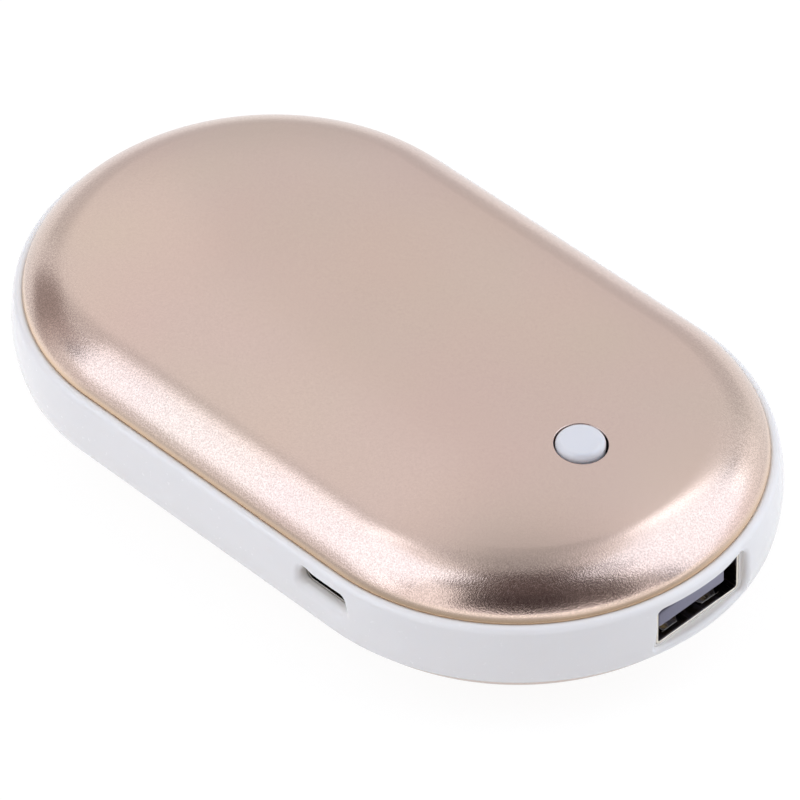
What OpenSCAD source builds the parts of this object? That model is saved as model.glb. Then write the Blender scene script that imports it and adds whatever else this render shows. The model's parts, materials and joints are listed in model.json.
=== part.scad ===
// Rechargeable pocket hand warmer: two metal shells on a plastic ring, a heating film behind each
// shell, two flat cells and a control board inside, a push button on top and two sockets in the ring.
// Long axis on X with the power outlet at +X, thickness on Z. The origin is the middle of the flat
// face that the warmer rests on. Most sizes below are worked out from the mid plane of the ring.

/* [Body] */
// Overall length, over the ring
body_length = 105; // [100:1:120]
// Overall width, over the ring
body_width = 62; // [62:1:68]
// Height of the ring between the two shells
ring_height = 8.6; // [8.4:0.1:10]
// Step from the ring's widest line in to each shell
ring_ledge = 1.55; // [1.4:0.05:2]
// Radius of the ring's bulging side
bulge_radius = 15; // [12:0.5:15]
// Radius of the ring's rolled edges
edge_radius = 0.9; // [0.7:0.05:0.95]
// Gap round the foot of each shell
joint_gap = 0.12; // [0.08:0.01:0.15]

/* [Shell curve] */
// Thickness of the metal shells
shell_wall = 0.9; // [0.7:0.05:1.1]
// Length of the shell's straight foot, below the joint
shell_skirt = 0.6; // [0.4:0.05:0.7]
// Radius of the curve just above the joint
lip_radius = 3; // [2.8:0.1:3.6]
// Slope of the lip at the joint, from upright
lip_start = 10; // [6:1:14]
// Slope where the lip meets the shoulder, from upright
lip_end = 35; // [30:1:40]
// Radius of the shoulder
shoulder_radius = 10.5; // [9:0.5:12]
// Slope where the shoulder meets the crowned face, from level
crown_angle = 11.2; // [10:0.2:12]
// Depth of the flat on which the lower shell rests
rest_flat = 0.12; // [0.05:0.01:0.3]

/* [Inner dishes] */
// Space between shell and inner dish, which the heating film fills
film_space = 0.35; // [0.3:0.05:0.45]
// Thickness of the heating film
film_thickness = 0.25; // [0.15:0.01:0.26]
// Wall of the inner dishes
liner_wall = 0.9; // [0.8:0.05:1]
// Half thickness of the shelf inside the ring
shelf_half = 1; // [0.9:0.05:1.2]
// Width of the shelf beyond the dishes' feet
shelf_lip = 0.5; // [0.3:0.05:0.8]
// Clearance between fitted plastic parts
fit_gap = 0.1; // [0.05:0.01:0.15]

/* [Button] */
// Distance of the button's centre from the outlet end
button_from_end = 20.7; // [20.5:0.1:22]
// Diameter of the button cap
button_d = 6; // [5:0.1:7]
// Gap between the cap and the hole in the shell
button_hole_gap = 0.25; // [0.15:0.05:0.4]
// How far the cap stands above the shell
button_proud = 0.75; // [0.5:0.05:1.2]
// Radius of the cap's rolled edge
button_edge = 0.5; // [0.3:0.05:0.7]
// Running clearance of the cap in its guide
button_running_gap = 0.08; // [0.05:0.01:0.1]
// Travel of the button
button_travel = 0.3; // [0.2:0.05:0.4]
// Diameter of the stem between cap and switch
stem_d = 3; // [2.4:0.1:3.2]

/* [Power outlet] */
// Depth of the recess in front of the outlet
outlet_recess = 1.8; // [1.5:0.1:2.4]
// Width of the recess
outlet_recess_w = 14.2; // [13.8:0.1:15]
// Height of the recess
outlet_recess_h = 6.2; // [6:0.05:6.3]
// Corner radius of the recess
outlet_recess_r = 1; // [0.6:0.1:1.5]
// Outer width of the metal shell
outlet_w = 13.1; // [12.9:0.1:13.3]
// Outer height of the metal shell
outlet_h = 5.7; // [5.6:0.05:5.8]
// Length of the metal shell
outlet_length = 14; // [13.6:0.1:14.2]
// Sheet thickness of the metal shell
outlet_sheet = 0.3; // [0.25:0.01:0.35]
// Width of the insulator tongue
tongue_w = 9.4; // [9:0.1:11.1]
// Thickness of the insulator tongue
tongue_t = 2.1; // [1.8:0.05:2.2]
// Height of the tongue's underside above the mid plane
tongue_z = -0.95; // [-1.05:0.05:-0.6]
// Distance of the tongue's front behind the mouth of the metal shell
tongue_setback = 0.45; // [0.3:0.05:0.7]

/* [Charging inlet] */
// Distance of the inlet's centre from the outlet end
inlet_from_end = 32.2; // [31.5:0.1:34]
// Height of the inlet's centre above the mid plane
inlet_z = 1.8; // [1.75:0.05:1.9]
// Depth of its recess from the ring's widest line
inlet_recess = 1.5; // [1.3:0.05:1.6]
// Width of its recess
inlet_recess_w = 8.2; // [8:0.1:9]
// Height of its recess
inlet_recess_h = 3.3; // [3.1:0.05:3.4]
// Corner radius of its recess
inlet_recess_r = 1.3; // [0.8:0.1:1.5]
// Outer width of its metal shell
inlet_w = 7.5; // [7.3:0.1:7.7]
// Outer height of its metal shell
inlet_h = 2.45; // [2.35:0.05:2.5]
// Length of its metal shell
inlet_length = 5.3; // [5:0.1:5.6]
// Sheet thickness of its metal shell
inlet_sheet = 0.25; // [0.2:0.01:0.3]

/* [Board] */
// Thickness of the circuit board
board_thickness = 1.2; // [1:0.1:1.3]
// Gap between the board's edge and the ring's shelf
board_edge_gap = 0.4; // [0.3:0.05:0.6]
// Depth of the board from its front edge to the cells' side
board_depth = 34; // [33:0.5:34.5]
// Side of the switch under the button
switch_side = 6.2; // [5.8:0.1:6.4]
// Height of the switch body
switch_body_h = 3.5; // [3.2:0.1:3.8]
// Height of the switch plunger's top above the board
switch_total_h = 5; // [4.6:0.1:5.4]
// Diameter of the switch plunger
plunger_d = 3.4; // [3:0.1:3.6]

/* [Cells] */
// Room beside the cells, out to the ring's shelf
cell_side_room = 7.8; // [7.6:0.1:9]
// Gap between the cells and the board's inner edge
cell_to_board = 4.6; // [4.2:0.1:5]
// Corner radius of the cells
cell_corner_r = 2.5; // [1.5:0.5:4]
// Space between cell and dish at the cell's corners
cell_corner_gap = 0.3; // [0.2:0.05:0.5]
// Thickness of the pad between the cells
cell_pad_t = 0.3; // [0.2:0.1:0.6]

/* [Screws] */
// Diameter of the case screws and board screws
screw_d = 2; // [1.8:0.1:2.2]
// Length of the case screws under the head
case_screw_length = 8; // [7:0.5:8]
// Radius of the posts that the case screws pass through
post_r = 2.4; // [2.3:0.05:2.45]
// Distance of the front posts from the outlet end
front_post_from_end = 14.2; // [14.1:0.1:14.6]
// Distance of the front posts from the long axis
front_post_y = 9.4; // [9.3:0.05:9.5]
// Distance of the back posts from the back end
back_post_from_end = 13.6; // [13.2:0.1:14.5]
// Distance of the back posts from the long axis
back_post_y = 6.5; // [5.5:0.1:7]

/* [Hidden] */
$fn = 96;
// Small overlap that makes cuts and joined solids meet cleanly
eps = 0.01;
// Depth by which a cut runs past what it cuts
past = 2;
// Depth of an arc's sliver behind its chord
cap_depth = 0.3;

// The stadium outline
ring_r = body_width / 2;
half_straight = (body_length - body_width) / 2;
joint_r = ring_r - ring_ledge;
joint_z = ring_height / 2;

// The three arcs of the shell's half section: X is the distance from the medial line, Y the height
// above the joint
function arc_point(centre, radius, angle) = centre + radius * [cos(angle), sin(angle)];
lip_centre = [joint_r - lip_radius * cos(lip_start), -lip_radius * sin(lip_start)];
shoulder_centre = arc_point(lip_centre, lip_radius - shoulder_radius, lip_end);
shoulder_top_angle = 90 - crown_angle;
shoulder_top = arc_point(shoulder_centre, shoulder_radius, shoulder_top_angle);
crown_radius = shoulder_top.x / sin(crown_angle);
crown_centre = [0, shoulder_top.y - crown_radius * cos(crown_angle)];
shell_rise = crown_centre.y + crown_radius;
mid_z = joint_z + shell_rise - rest_flat;

// Depth of each skin below the shell's outer face
liner_out = shell_wall + film_space;
liner_in = liner_out + liner_wall;
film_out = shell_wall + (film_space - film_thickness) / 2;
film_in = film_out + film_thickness;

// Radius of a skin's straight foot, for its depth below the shell's outer face
function foot_r(inset) = lip_centre.x + (lip_radius - inset) * cos(lip_start);
// Height of a skin's crowned face above the mid plane, r from the medial line
function crown_z(r, inset) = joint_z + crown_centre.y + sqrt(pow(crown_radius - inset, 2) - r * r);
// Distance of a point of the plan from the medial line
function medial_distance(x, y) = norm([max(abs(x) - half_straight, 0), y]);

// Ring
groove_r = joint_r + joint_gap;
groove_floor = joint_z - shell_skirt;
liner_pocket_r = foot_r(liner_out) + fit_gap;
shelf_r = foot_r(liner_in) - shelf_lip;
liner_foot = joint_z - shelf_half;
edge_z = joint_z - edge_radius;
edge_x = ring_r - bulge_radius + sqrt(pow(bulge_radius - edge_radius, 2) - pow(edge_z, 2));
bulge_angle = asin(edge_z / (bulge_radius - edge_radius));

// Board, with the inlet standing on its upper face
board_top = inlet_z - inlet_h / 2;
board_bottom = board_top - board_thickness;
board_r = shelf_r - board_edge_gap;
board_front_x = half_straight + board_r;
board_back_x = board_front_x - board_depth;
board_post_inset = 10.9;
heater_lead_inset = 17.4;
transistor_inset = 15.4;
capacitor_inset = 6.2;

// Outlet
outlet_x = body_length / 2 - outlet_recess;
outlet_back_x = outlet_x - outlet_length;
outlet_notch_w = outlet_w + 0.4;
tongue_front_x = outlet_x - tongue_setback;
tongue_base_x = outlet_x - 9.5;
outlet_leg_x = outlet_back_x - 0.4;
contact_t = 0.2;
contact_w = 1;
contact_ys = [-3.5, -1, 1, 3.5];
finger_w = 2;
finger_y = 3.1;
finger_sheet = 0.22;

// Inlet
inlet_x = body_length / 2 - inlet_from_end;
inlet_y = inlet_recess - ring_r;
inlet_chamfer = 0.7;
ear_half_w = inlet_w / 2 + 1.1;
ear_y = liner_pocket_r - 0.35;
inlet_tongue_w = 3.8;
inlet_tongue_t = 0.65;
inlet_tongue_top = inlet_h / 2 - inlet_sheet - 0.3;
inlet_base_length = 1.6;
inlet_strip_w = 0.36;
inlet_strip_t = 0.15;
inlet_strip_pitch = 0.65;
inlet_foot = 1;
inlet_strip_back_y = inlet_y + inlet_length - inlet_base_length + 0.4;

// Button, from the cap's top down to the switch plunger
button_x = body_length / 2 - button_from_end;
button_face_z = crown_z(medial_distance(button_x, 0), 0);
button_top_z = button_face_z + button_proud;
button_r = button_d / 2;
guide_r = button_r + button_running_gap;
guide_outer_r = guide_r + 1.6;
guide_bottom_z = button_face_z - liner_in - 1.9;
flange_gap = 0.06;
flange_top_z = guide_bottom_z - flange_gap;
flange_t = 0.9;
flange_r = button_r + 1.3;
plunger_top_z = board_top + switch_total_h;
stem_gap = 0.04;
chamfer = 0.2;

// Switch
switch_top_z = board_top + switch_body_h;
switch_floor = 0.8;
switch_cover_t = 0.3;
switch_cavity_r = 2.5;
switch_cavity_z = board_top + switch_floor;
dome_r = 2.2;
dome_rise = 0.45;
dome_sheet = 0.1;
plunger_foot_z = switch_cavity_z + dome_rise + 0.04;
plunger_foot_t = 0.8;
plunger_hole_r = plunger_d / 2 + 0.08;

// Posts that the case screws pass through, and posts that carry the board's inner edge
post_space = 0.4;
post_gap = 0.05;
front_post_x = body_length / 2 - front_post_from_end;
back_post_x = back_post_from_end - body_length / 2;
side_post_x = board_back_x - post_space;
side_post_y = shelf_r - post_r - 0.7;
board_post_r = 2.2;
board_post_x = board_back_x + 6.2;
board_post_y = board_r - board_post_inset;
front_posts = [for (side = [-1, 1]) [front_post_x, side * front_post_y]];
back_posts = [for (side = [-1, 1]) [back_post_x, side * back_post_y]];
side_posts = [for (side = [-1, 1]) [side_post_x, side * side_post_y]];
case_posts = concat(front_posts, back_posts, side_posts);
board_posts = [for (side = [-1, 1]) [board_post_x, side * board_post_y]];

// Cells, as thick as the dishes leave room for at the cells' outer corners
frame_wall = 1.2;
frame_half_h = 4;
frame_gap = 0.3;
cell_front_x = board_back_x - cell_to_board;
cell_back_x = back_post_x + post_r + post_space + frame_wall + frame_gap;
cell_length = cell_front_x - cell_back_x;
cell_width = 2 * (shelf_r - cell_side_room);
cell_corner_d = medial_distance(cell_back_x, cell_width / 2);
cell_bottom_z = cell_pad_t / 2;
cell_top_z = crown_z(min(cell_corner_d, shoulder_top.x), liner_in) - cell_corner_gap;
foam_gap = 0.05;
foam_margin = 2;
pad_margin = 4;
lug_w = 3;
lug_xs = [0.25, 0.75];

// Protection board and tabs in front of the cells
guard_depth = 3;
guard_w = 24;
guard_t = 0.8;
guard_x = cell_front_x + 0.6;
tab_t = 0.15;
tab_w = 4;
tab_y = 7;
tab_z = (cell_bottom_z + cell_top_z) / 2;
lead_r = 0.55;
lead_y = 10;

// Screws
screw_hole_r = screw_d / 2 + 0.02;
screw_head_r = 1.75;
screw_head_t = 1.3;
screw_cross_w = 0.5;
screw_cross_l = 2.4;
screw_cross_depth = 0.6;
counterbore_r = screw_head_r + 0.1;
case_screw_seat = board_bottom - 3.4;
board_screw_length = 5;
pilot_end = 0.5;

// Heating films and their leads
film_r = joint_r - 9.95;
film_button_r = guide_outer_r + 1;
heater_lead_x = board_back_x + 10.2;
heater_lead_y = board_r - heater_lead_inset;
heater_lead_ys = [-heater_lead_y, heater_lead_y];
heater_lead_hole_r = lead_r + 0.35;
thermistor_x = heater_lead_x;

// Parts on the board
control_chip_size = [3.9, 9.9, 1.4];
control_chip_x = board_post_x + 0.2;
charger_chip_size = [3.9, 4.9, 1.4];
charger_chip_x = inlet_x + 5.5;
charger_chip_y = inlet_y + inlet_length + 6.2;
chip_leg_pitch = 1.27;
chip_leg_w = 0.4;
chip_leg_t = 0.18;
chip_leg_reach = 0.8;
transistor_size = [2.9, 1.6, 1.1];
transistor_pitch = 4;
transistor_x = button_x + 1;
transistor_y = board_r - transistor_inset;
capacitor_size = [1.25, 2, 1.2];
capacitor_pitch = 3;
capacitor_x = board_back_x + 3.4;
capacitor_y = board_r - capacitor_inset;
resistor_size = [0.8, 1.6, 0.5];
resistor_pitch = 1.5;
resistor_x = heater_lead_x + 1.4;
resistor_y = (switch_side + resistor_size.y) / 2 + 1.7;
coil_flange_r = 3.2;
coil_flange_t = 0.7;
coil_waist_r = 1.6;
coil_h = 3.6;
coil_gap = 4.4;
coil_x = button_x - 1.5;
coil_y = resistor_y + resistor_size.y / 2 + coil_gap + coil_flange_r;
lamp_size = [2, 1.2, 0.8];
lamp_gap = 0.7;

// Lifts what is drawn about the mid plane to its place above the resting face
module placed() {
    translate([0, 0, mid_z])
        children();
}

// Outline with straight sides and round ends
module stadium(radius) {
    square([2 * half_straight, 2 * radius], center = true);
    for (side = [-1, 1])
        translate([side * half_straight, 0])
            circle(radius);
}

// Carries a half section, X outward and Y up, all the way round the stadium
module carry_round() {
    translate([half_straight, 0, 0])
        rotate([0, 0, -90])
            rotate_extrude(angle = 180)
                children();
    translate([-half_straight, 0, 0])
        rotate([0, 0, 90])
            rotate_extrude(angle = 180)
                children();
    rotate([90, 0, 90])
        linear_extrude(2 * half_straight, center = true) {
            children();
            mirror([1, 0])
                children();
        }
}

// The sliver between an arc and its chord, with a little depth behind the chord
module arc_cap(centre, radius, from, to) {
    out = [cos((from + to) / 2), sin((from + to) / 2)];
    start = arc_point(centre, radius, from);
    finish = arc_point(centre, radius, to);
    depth = min(cap_depth, radius / 4);
    intersection() {
        translate(centre)
            circle(radius);
        polygon([start - depth * out, start + radius * out, finish + radius * out, finish - depth * out]);
    }
}

// Half section under the shell's outer face, or under a skin at a depth below it, with a straight
// foot that reaches below the joint
module pillow_section(inset, foot) {
    lip_low = arc_point(lip_centre, lip_radius - inset, lip_start);
    lip_high = arc_point(lip_centre, lip_radius - inset, lip_end);
    shoulder_high = arc_point(shoulder_centre, shoulder_radius - inset, shoulder_top_angle);
    polygon([[0, -foot], [lip_low.x, -foot], lip_low, lip_high, shoulder_high, [0, shoulder_high.y]]);
    arc_cap(lip_centre, lip_radius - inset, lip_start, lip_end);
    arc_cap(shoulder_centre, shoulder_radius - inset, lip_end, shoulder_top_angle);
    intersection() {
        translate(crown_centre)
            circle(crown_radius - inset, $fn = 360);
        translate([0, shoulder_high.y - cap_depth])
            square([shoulder_high.x, shell_rise]);
    }
}

// Solid under a skin of the upper half, standing on the joint
module pillow(inset, foot) {
    translate([0, 0, joint_z])
        carry_round()
            pillow_section(inset, foot);
}

module rounded_rect(w, h, r) {
    square([w - 2 * r, h], center = true);
    square([w, h - 2 * r], center = true);
    for (x = [-1, 1], y = [-1, 1])
        translate([x * (w / 2 - r), y * (h / 2 - r)])
            circle(r);
}

// Box centred in Y and Z, from one X to another
module box_x(x0, x1, w, h) {
    translate([x0, -w / 2, -h / 2])
        cube([x1 - x0, w, h]);
}

// Round bar between two points
module bar(from, to, radius) {
    run = to - from;
    translate(from)
        rotate([0, acos(run.z / norm(run)), atan2(run.y, run.x)])
            cylinder(r = radius, h = norm(run), $fn = 24);
}

// Insulated lead along a few points, with round bends
module lead(points, radius) {
    for (i = [0 : len(points) - 2])
        bar(points[i], points[i + 1], radius);
    for (i = [1 : 1 : len(points) - 2])
        translate(points[i])
            sphere(radius, $fn = 24);
}

module shell_blank() {
    difference() {
        pillow(0, shell_skirt);
        pillow(shell_wall, shell_skirt + past);
    }
}

module top_shell() {
    hole_r = button_r + button_hole_gap;
    color([0.81, 0.72, 0.68])
        placed()
            difference() {
                shell_blank();
                translate([button_x, 0, joint_z])
                    cylinder(r = hole_r, h = shell_rise + past);
                translate([button_x, 0, button_face_z - chamfer])
                    cylinder(r1 = hole_r, r2 = hole_r + chamfer + past, h = chamfer + past);
            }
}

module bottom_shell() {
    color([0.81, 0.72, 0.68])
        difference() {
            placed()
                mirror([0, 0, 1])
                    shell_blank();
            translate([0, 0, -past / 2])
                cube([body_length, body_width, past], center = true);
        }
}

// Half section of the ring: bulged outside with rolled edges, and inside a groove for each shell,
// a pocket for each dish and the shelf between them
module ring_section() {
    difference() {
        union() {
            polygon([
                [shelf_r, -joint_z],
                [edge_x, -joint_z],
                arc_point([edge_x, -edge_z], edge_radius, -bulge_angle),
                arc_point([edge_x, edge_z], edge_radius, bulge_angle),
                [edge_x, joint_z],
                [shelf_r, joint_z]
            ]);
            arc_cap([ring_r - bulge_radius, 0], bulge_radius, -bulge_angle, bulge_angle);
            arc_cap([edge_x, edge_z], edge_radius, bulge_angle, 90);
            arc_cap([edge_x, -edge_z], edge_radius, -90, -bulge_angle);
        }
        for (side = [0, 1])
            mirror([0, side]) {
                translate([shelf_r - past, groove_floor])
                    square([groove_r - shelf_r + past, past]);
                translate([shelf_r - past, shelf_half])
                    square([liner_pocket_r - shelf_r + past, joint_z]);
            }
    }
}

module outlet_recess_cut() {
    translate([outlet_x, 0, 0])
        rotate([90, 0, 90])
            linear_extrude(outlet_recess + past)
                rounded_rect(outlet_recess_w, outlet_recess_h, outlet_recess_r);
    box_x(half_straight + shelf_r - past, outlet_x + eps, outlet_w + 2 * fit_gap, outlet_h + 2 * fit_gap);
}

module inlet_recess_cut() {
    translate([inlet_x, inlet_y, inlet_z])
        rotate([90, 0, 0])
            linear_extrude(inlet_recess + past)
                rounded_rect(inlet_recess_w, inlet_recess_h, inlet_recess_r);
    translate([inlet_x - inlet_w / 2 - fit_gap, inlet_y - eps, inlet_z - inlet_h / 2 - fit_gap])
        cube([inlet_w + 2 * fit_gap, ring_r - shelf_r + past, inlet_h + 2 * fit_gap]);
    translate([inlet_x - ear_half_w - 0.3, -liner_pocket_r, -shelf_half - eps])
        cube([2 * ear_half_w + 0.6, liner_pocket_r - shelf_r + past, 2 * shelf_half + 2 * eps]);
}

module middle_ring() {
    color([0.92, 0.91, 0.93])
        placed()
            difference() {
                carry_round()
                    ring_section();
                outlet_recess_cut();
                inlet_recess_cut();
            }
}

// Room in the dishes for the outlet's metal shell
module outlet_clearance() {
    gap = 0.3;
    box_x(outlet_back_x - gap, outlet_x + past, outlet_w + 2 * gap, outlet_h + 2 * gap);
}

// Dish behind a shell, with the foot that stands on the ring's shelf
module dish() {
    difference() {
        pillow(liner_out, liner_foot);
        pillow(liner_in, liner_foot + past);
    }
}

// Post under the crowned part of the upper dish, its flat end buried in the dish's wall
module post(p, radius, from) {
    translate([p.x, p.y, from])
        cylinder(r = radius, h = crown_z(medial_distance(p.x, p.y) + radius, liner_out) - eps - from);
}

// Posts beside the cells, cut off in the sloping wall of the upper dish
module side_post_pair(from) {
    intersection() {
        translate([0, 0, joint_z])
            rotate([90, 0, 90])
                linear_extrude(2 * half_straight, center = true) {
                    pillow_section(liner_out + liner_wall / 2, joint_z);
                    mirror([1, 0])
                        pillow_section(liner_out + liner_wall / 2, joint_z);
                }
        for (p = side_posts)
            translate([p.x, p.y, from])
                cylinder(r = post_r, h = mid_z);
    }
}

module top_liner() {
    gap = 0.3;
    pilot_top = case_screw_seat + case_screw_length + pilot_end;
    color([0.16, 0.16, 0.17])
        placed()
            difference() {
                union() {
                    dish();
                    for (p = front_posts)
                        post(p, post_r, board_top);
                    for (p = back_posts)
                        post(p, post_r, board_bottom + post_gap);
                    side_post_pair(board_bottom + post_gap);
                    post([button_x, 0], guide_outer_r, guide_bottom_z);
                }
                for (p = case_posts)
                    translate([p.x, p.y, board_bottom - past])
                        cylinder(r = screw_hole_r, h = pilot_top - board_bottom + past);
                translate([button_x, 0, guide_bottom_z - past])
                    cylinder(r = guide_r, h = mid_z);
                outlet_clearance();
                translate([inlet_x - inlet_w / 2 - gap, -ring_r, 0])
                    cube([inlet_w + 2 * gap, ring_r - shelf_r + past, inlet_z + inlet_h / 2 + gap]);
                for (y = heater_lead_ys)
                    translate([heater_lead_x, y, joint_z])
                        cylinder(r = heater_lead_hole_r, h = mid_z);
            }
}

// Drawn upside down, as the same dish with its own posts
module bottom_liner() {
    color([0.16, 0.16, 0.17])
        placed()
            mirror([0, 0, 1])
                difference() {
                    union() {
                        dish();
                        for (p = concat(front_posts, back_posts))
                            post(p, post_r, -board_bottom);
                        side_post_pair(-board_bottom);
                        for (p = board_posts)
                            post(p, board_post_r, -board_bottom);
                    }
                    for (p = case_posts) {
                        translate([p.x, p.y, 0])
                            cylinder(r = screw_hole_r, h = mid_z);
                        translate([p.x, p.y, -case_screw_seat])
                            cylinder(r = counterbore_r, h = mid_z);
                    }
                    for (p = board_posts)
                        translate([p.x, p.y, 0])
                            cylinder(r = screw_hole_r, h = board_screw_length + pilot_end - board_top);
                    outlet_clearance();
                    for (y = heater_lead_ys)
                        translate([heater_lead_x, y, joint_z])
                            cylinder(r = heater_lead_hole_r, h = mid_z);
                }
}

// Cap with a rolled top edge, a flange under the guide and a stem down to the switch
module button_cap() {
    color([0.93, 0.93, 0.95])
        placed()
            translate([button_x, 0, 0])
                rotate_extrude() {
                    translate([0, flange_top_z - eps])
                        square([button_r, button_top_z - button_edge - flange_top_z + eps]);
                    translate([0, button_top_z - button_edge - eps])
                        square([button_r - button_edge, button_edge + eps]);
                    intersection() {
                        translate([button_r - button_edge, button_top_z - button_edge])
                            circle(button_edge);
                        translate([0, button_top_z - button_edge - eps])
                            square([button_r, button_edge + eps]);
                    }
                    translate([0, flange_top_z - flange_t])
                        square([flange_r, flange_t]);
                    translate([0, plunger_top_z + stem_gap])
                        square([stem_d / 2, flange_top_z - plunger_top_z - stem_gap]);
                }
}

module switch_base() {
    color([0.12, 0.12, 0.13])
        placed()
            difference() {
                translate([button_x - switch_side / 2, -switch_side / 2, board_top])
                    cube([switch_side, switch_side, switch_body_h - switch_cover_t]);
                translate([button_x, 0, switch_cavity_z])
                    cylinder(r = switch_cavity_r, h = switch_body_h);
            }
}

module switch_cover() {
    color([0.75, 0.76, 0.78])
        placed()
            difference() {
                translate([button_x - switch_side / 2, -switch_side / 2, switch_top_z - switch_cover_t])
                    cube([switch_side, switch_side, switch_cover_t]);
                translate([button_x, 0, board_top])
                    cylinder(r = plunger_hole_r, h = switch_body_h + past);
            }
}

module switch_plunger() {
    foot_gap = 0.06;
    color([0.14, 0.14, 0.15])
        placed()
            translate([button_x, 0, 0]) {
                translate([0, 0, plunger_foot_z])
                    cylinder(r = plunger_d / 2, h = plunger_top_z - plunger_foot_z);
                translate([0, 0, plunger_foot_z])
                    cylinder(r = switch_cavity_r - foot_gap, h = plunger_foot_t);
            }
}

// Snap disc: a shallow cap cut from a thin sphere
module switch_dome() {
    sphere_r = (dome_r * dome_r + dome_rise * dome_rise) / (2 * dome_rise);
    color([0.8, 0.8, 0.78])
        placed()
            translate([button_x, 0, switch_cavity_z + dome_rise - sphere_r])
                rotate_extrude()
                    intersection() {
                        difference() {
                            circle(sphere_r);
                            circle(sphere_r - dome_sheet);
                        }
                        translate([0, sphere_r - dome_rise])
                            square([dome_r, dome_rise]);
                    }
}

module switch_terminals() {
    pad_l = 1.2;
    pad_w = 0.8;
    pad_t = 0.2;
    pad_y = 0.36 * switch_side;
    color([0.75, 0.75, 0.74])
        placed()
            for (side = [-1, 1], y = [-1, 1])
                translate([button_x + side * (switch_side + pad_l) / 2, y * pad_y, board_top + pad_t / 2])
                    cube([pad_l, pad_w, pad_t], center = true);
}

module circuit_board() {
    notch_back_x = outlet_leg_x - 0.2;
    color([0.1, 0.32, 0.2])
        placed()
            translate([0, 0, board_bottom])
                linear_extrude(board_thickness)
                    difference() {
                        union() {
                            intersection() {
                                stadium(board_r);
                                translate([board_back_x, -body_width / 2])
                                    square([board_depth + past, body_width]);
                            }
                            translate([inlet_x - ear_half_w, -ear_y])
                                square([2 * ear_half_w, ear_y - board_r + past]);
                        }
                        translate([notch_back_x, -outlet_notch_w / 2])
                            square([board_front_x - notch_back_x + past, outlet_notch_w]);
                        for (p = side_posts)
                            translate(p)
                                circle(post_r + 0.4);
                        for (p = concat(front_posts, board_posts))
                            translate(p)
                                circle(screw_hole_r + 0.1);
                    }
}

// One spring finger of the outlet, drawn along X: fixed at the back, bumped up, and turned down again
// just behind the mouth
module finger(bump) {
    floor_z = -outlet_h / 2;
    tip_x = outlet_x - 1.25;
    peak_x = outlet_x - 3;
    root_x = outlet_x - 8.2;
    rotate([90, 0, 0])
        linear_extrude(finger_w, center = true)
            polygon([
                [tip_x, floor_z + 0.12],
                [tip_x, floor_z + 0.12 + finger_sheet],
                [peak_x, floor_z + outlet_sheet + bump],
                [root_x, floor_z + finger_sheet + 0.05],
                [root_x, floor_z],
                [peak_x, floor_z + outlet_sheet + bump - finger_sheet]
            ]);
}

module usb_a_shell() {
    slot_front_x = outlet_x - 1.05;
    slot_back_x = outlet_x - 8;
    ear_l = 1.4;
    ear_y = (outlet_w + ear_l) / 2 - eps;
    inner_w = outlet_w - 2 * outlet_sheet;
    inner_h = outlet_h - 2 * outlet_sheet;
    color([0.72, 0.72, 0.7])
        placed() {
            difference() {
                box_x(outlet_back_x, outlet_x, outlet_w, outlet_h);
                box_x(outlet_back_x + outlet_sheet, outlet_x + past, inner_w, inner_h);
                for (side = [-1, 1])
                    translate([0, side * finger_y, 0])
                        box_x(slot_back_x, slot_front_x, finger_w + 0.5, outlet_h + past);
                translate([0, 0, contact_level()])
                    for (y = contact_ys)
                        translate([outlet_back_x - eps, y - contact_w / 2 - 0.1, -contact_t / 2 - 0.1])
                            cube([outlet_sheet + 2 * eps, contact_w + 0.2, contact_t + 0.2]);
            }
            for (side = [-1, 1])
                translate([0, side * finger_y, 0]) {
                    finger(0.75);
                    mirror([0, 0, 1])
                        finger(0.45);
                }
            for (side = [-1, 1])
                translate([outlet_x - 6, side * ear_y, board_top + outlet_sheet / 2])
                    cube([2, ear_l, outlet_sheet], center = true);
        }
}

// Height of the contacts' middle, face to face with the tongue's underside
function contact_level() = tongue_z - contact_t / 2;

module usb_a_tongue() {
    side_gap = 0.1;
    base_h = outlet_h - 2 * outlet_sheet - 2 * side_gap;
    base_w = outlet_w - 2 * outlet_sheet - 2 * side_gap;
    corner = 0.5;
    color([0.42, 0.44, 0.55])
        placed()
            difference() {
                union() {
                    translate([0, 0, tongue_z])
                        linear_extrude(tongue_t) {
                            translate([tongue_base_x - eps, -tongue_w / 2])
                                square([tongue_front_x - corner - tongue_base_x + eps, tongue_w]);
                            translate([tongue_base_x - eps, corner - tongue_w / 2])
                                square([tongue_front_x - tongue_base_x + eps, tongue_w - 2 * corner]);
                            for (side = [-1, 1])
                                translate([tongue_front_x - corner, side * (tongue_w / 2 - corner)])
                                    circle(corner);
                        }
                    box_x(outlet_back_x + outlet_sheet + side_gap, tongue_base_x, base_w, base_h);
                }
                for (y = contact_ys)
                    translate([outlet_back_x, y - contact_w / 2 - 0.05, tongue_z - contact_t - 0.05])
                        cube([tongue_base_x - outlet_back_x + eps, contact_w + 0.1, contact_t + 0.05]);
            }
}

// Contact strips under the tongue, out through the back and up on the board
module usb_a_contacts() {
    front_x = outlet_x - 1.4;
    leg_w = 0.6;
    foot_l = 1;
    color([0.8, 0.68, 0.36])
        placed()
            for (y = contact_ys) {
                translate([outlet_leg_x, y - contact_w / 2, tongue_z - contact_t])
                    cube([front_x - outlet_leg_x, contact_w, contact_t]);
                translate([outlet_leg_x, y - leg_w / 2, tongue_z - contact_t])
                    cube([contact_t, leg_w, board_top - tongue_z + 2 * contact_t]);
                translate([outlet_leg_x - foot_l, y - leg_w / 2, board_top])
                    cube([foot_l + contact_t, leg_w, contact_t]);
            }
}

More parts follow.
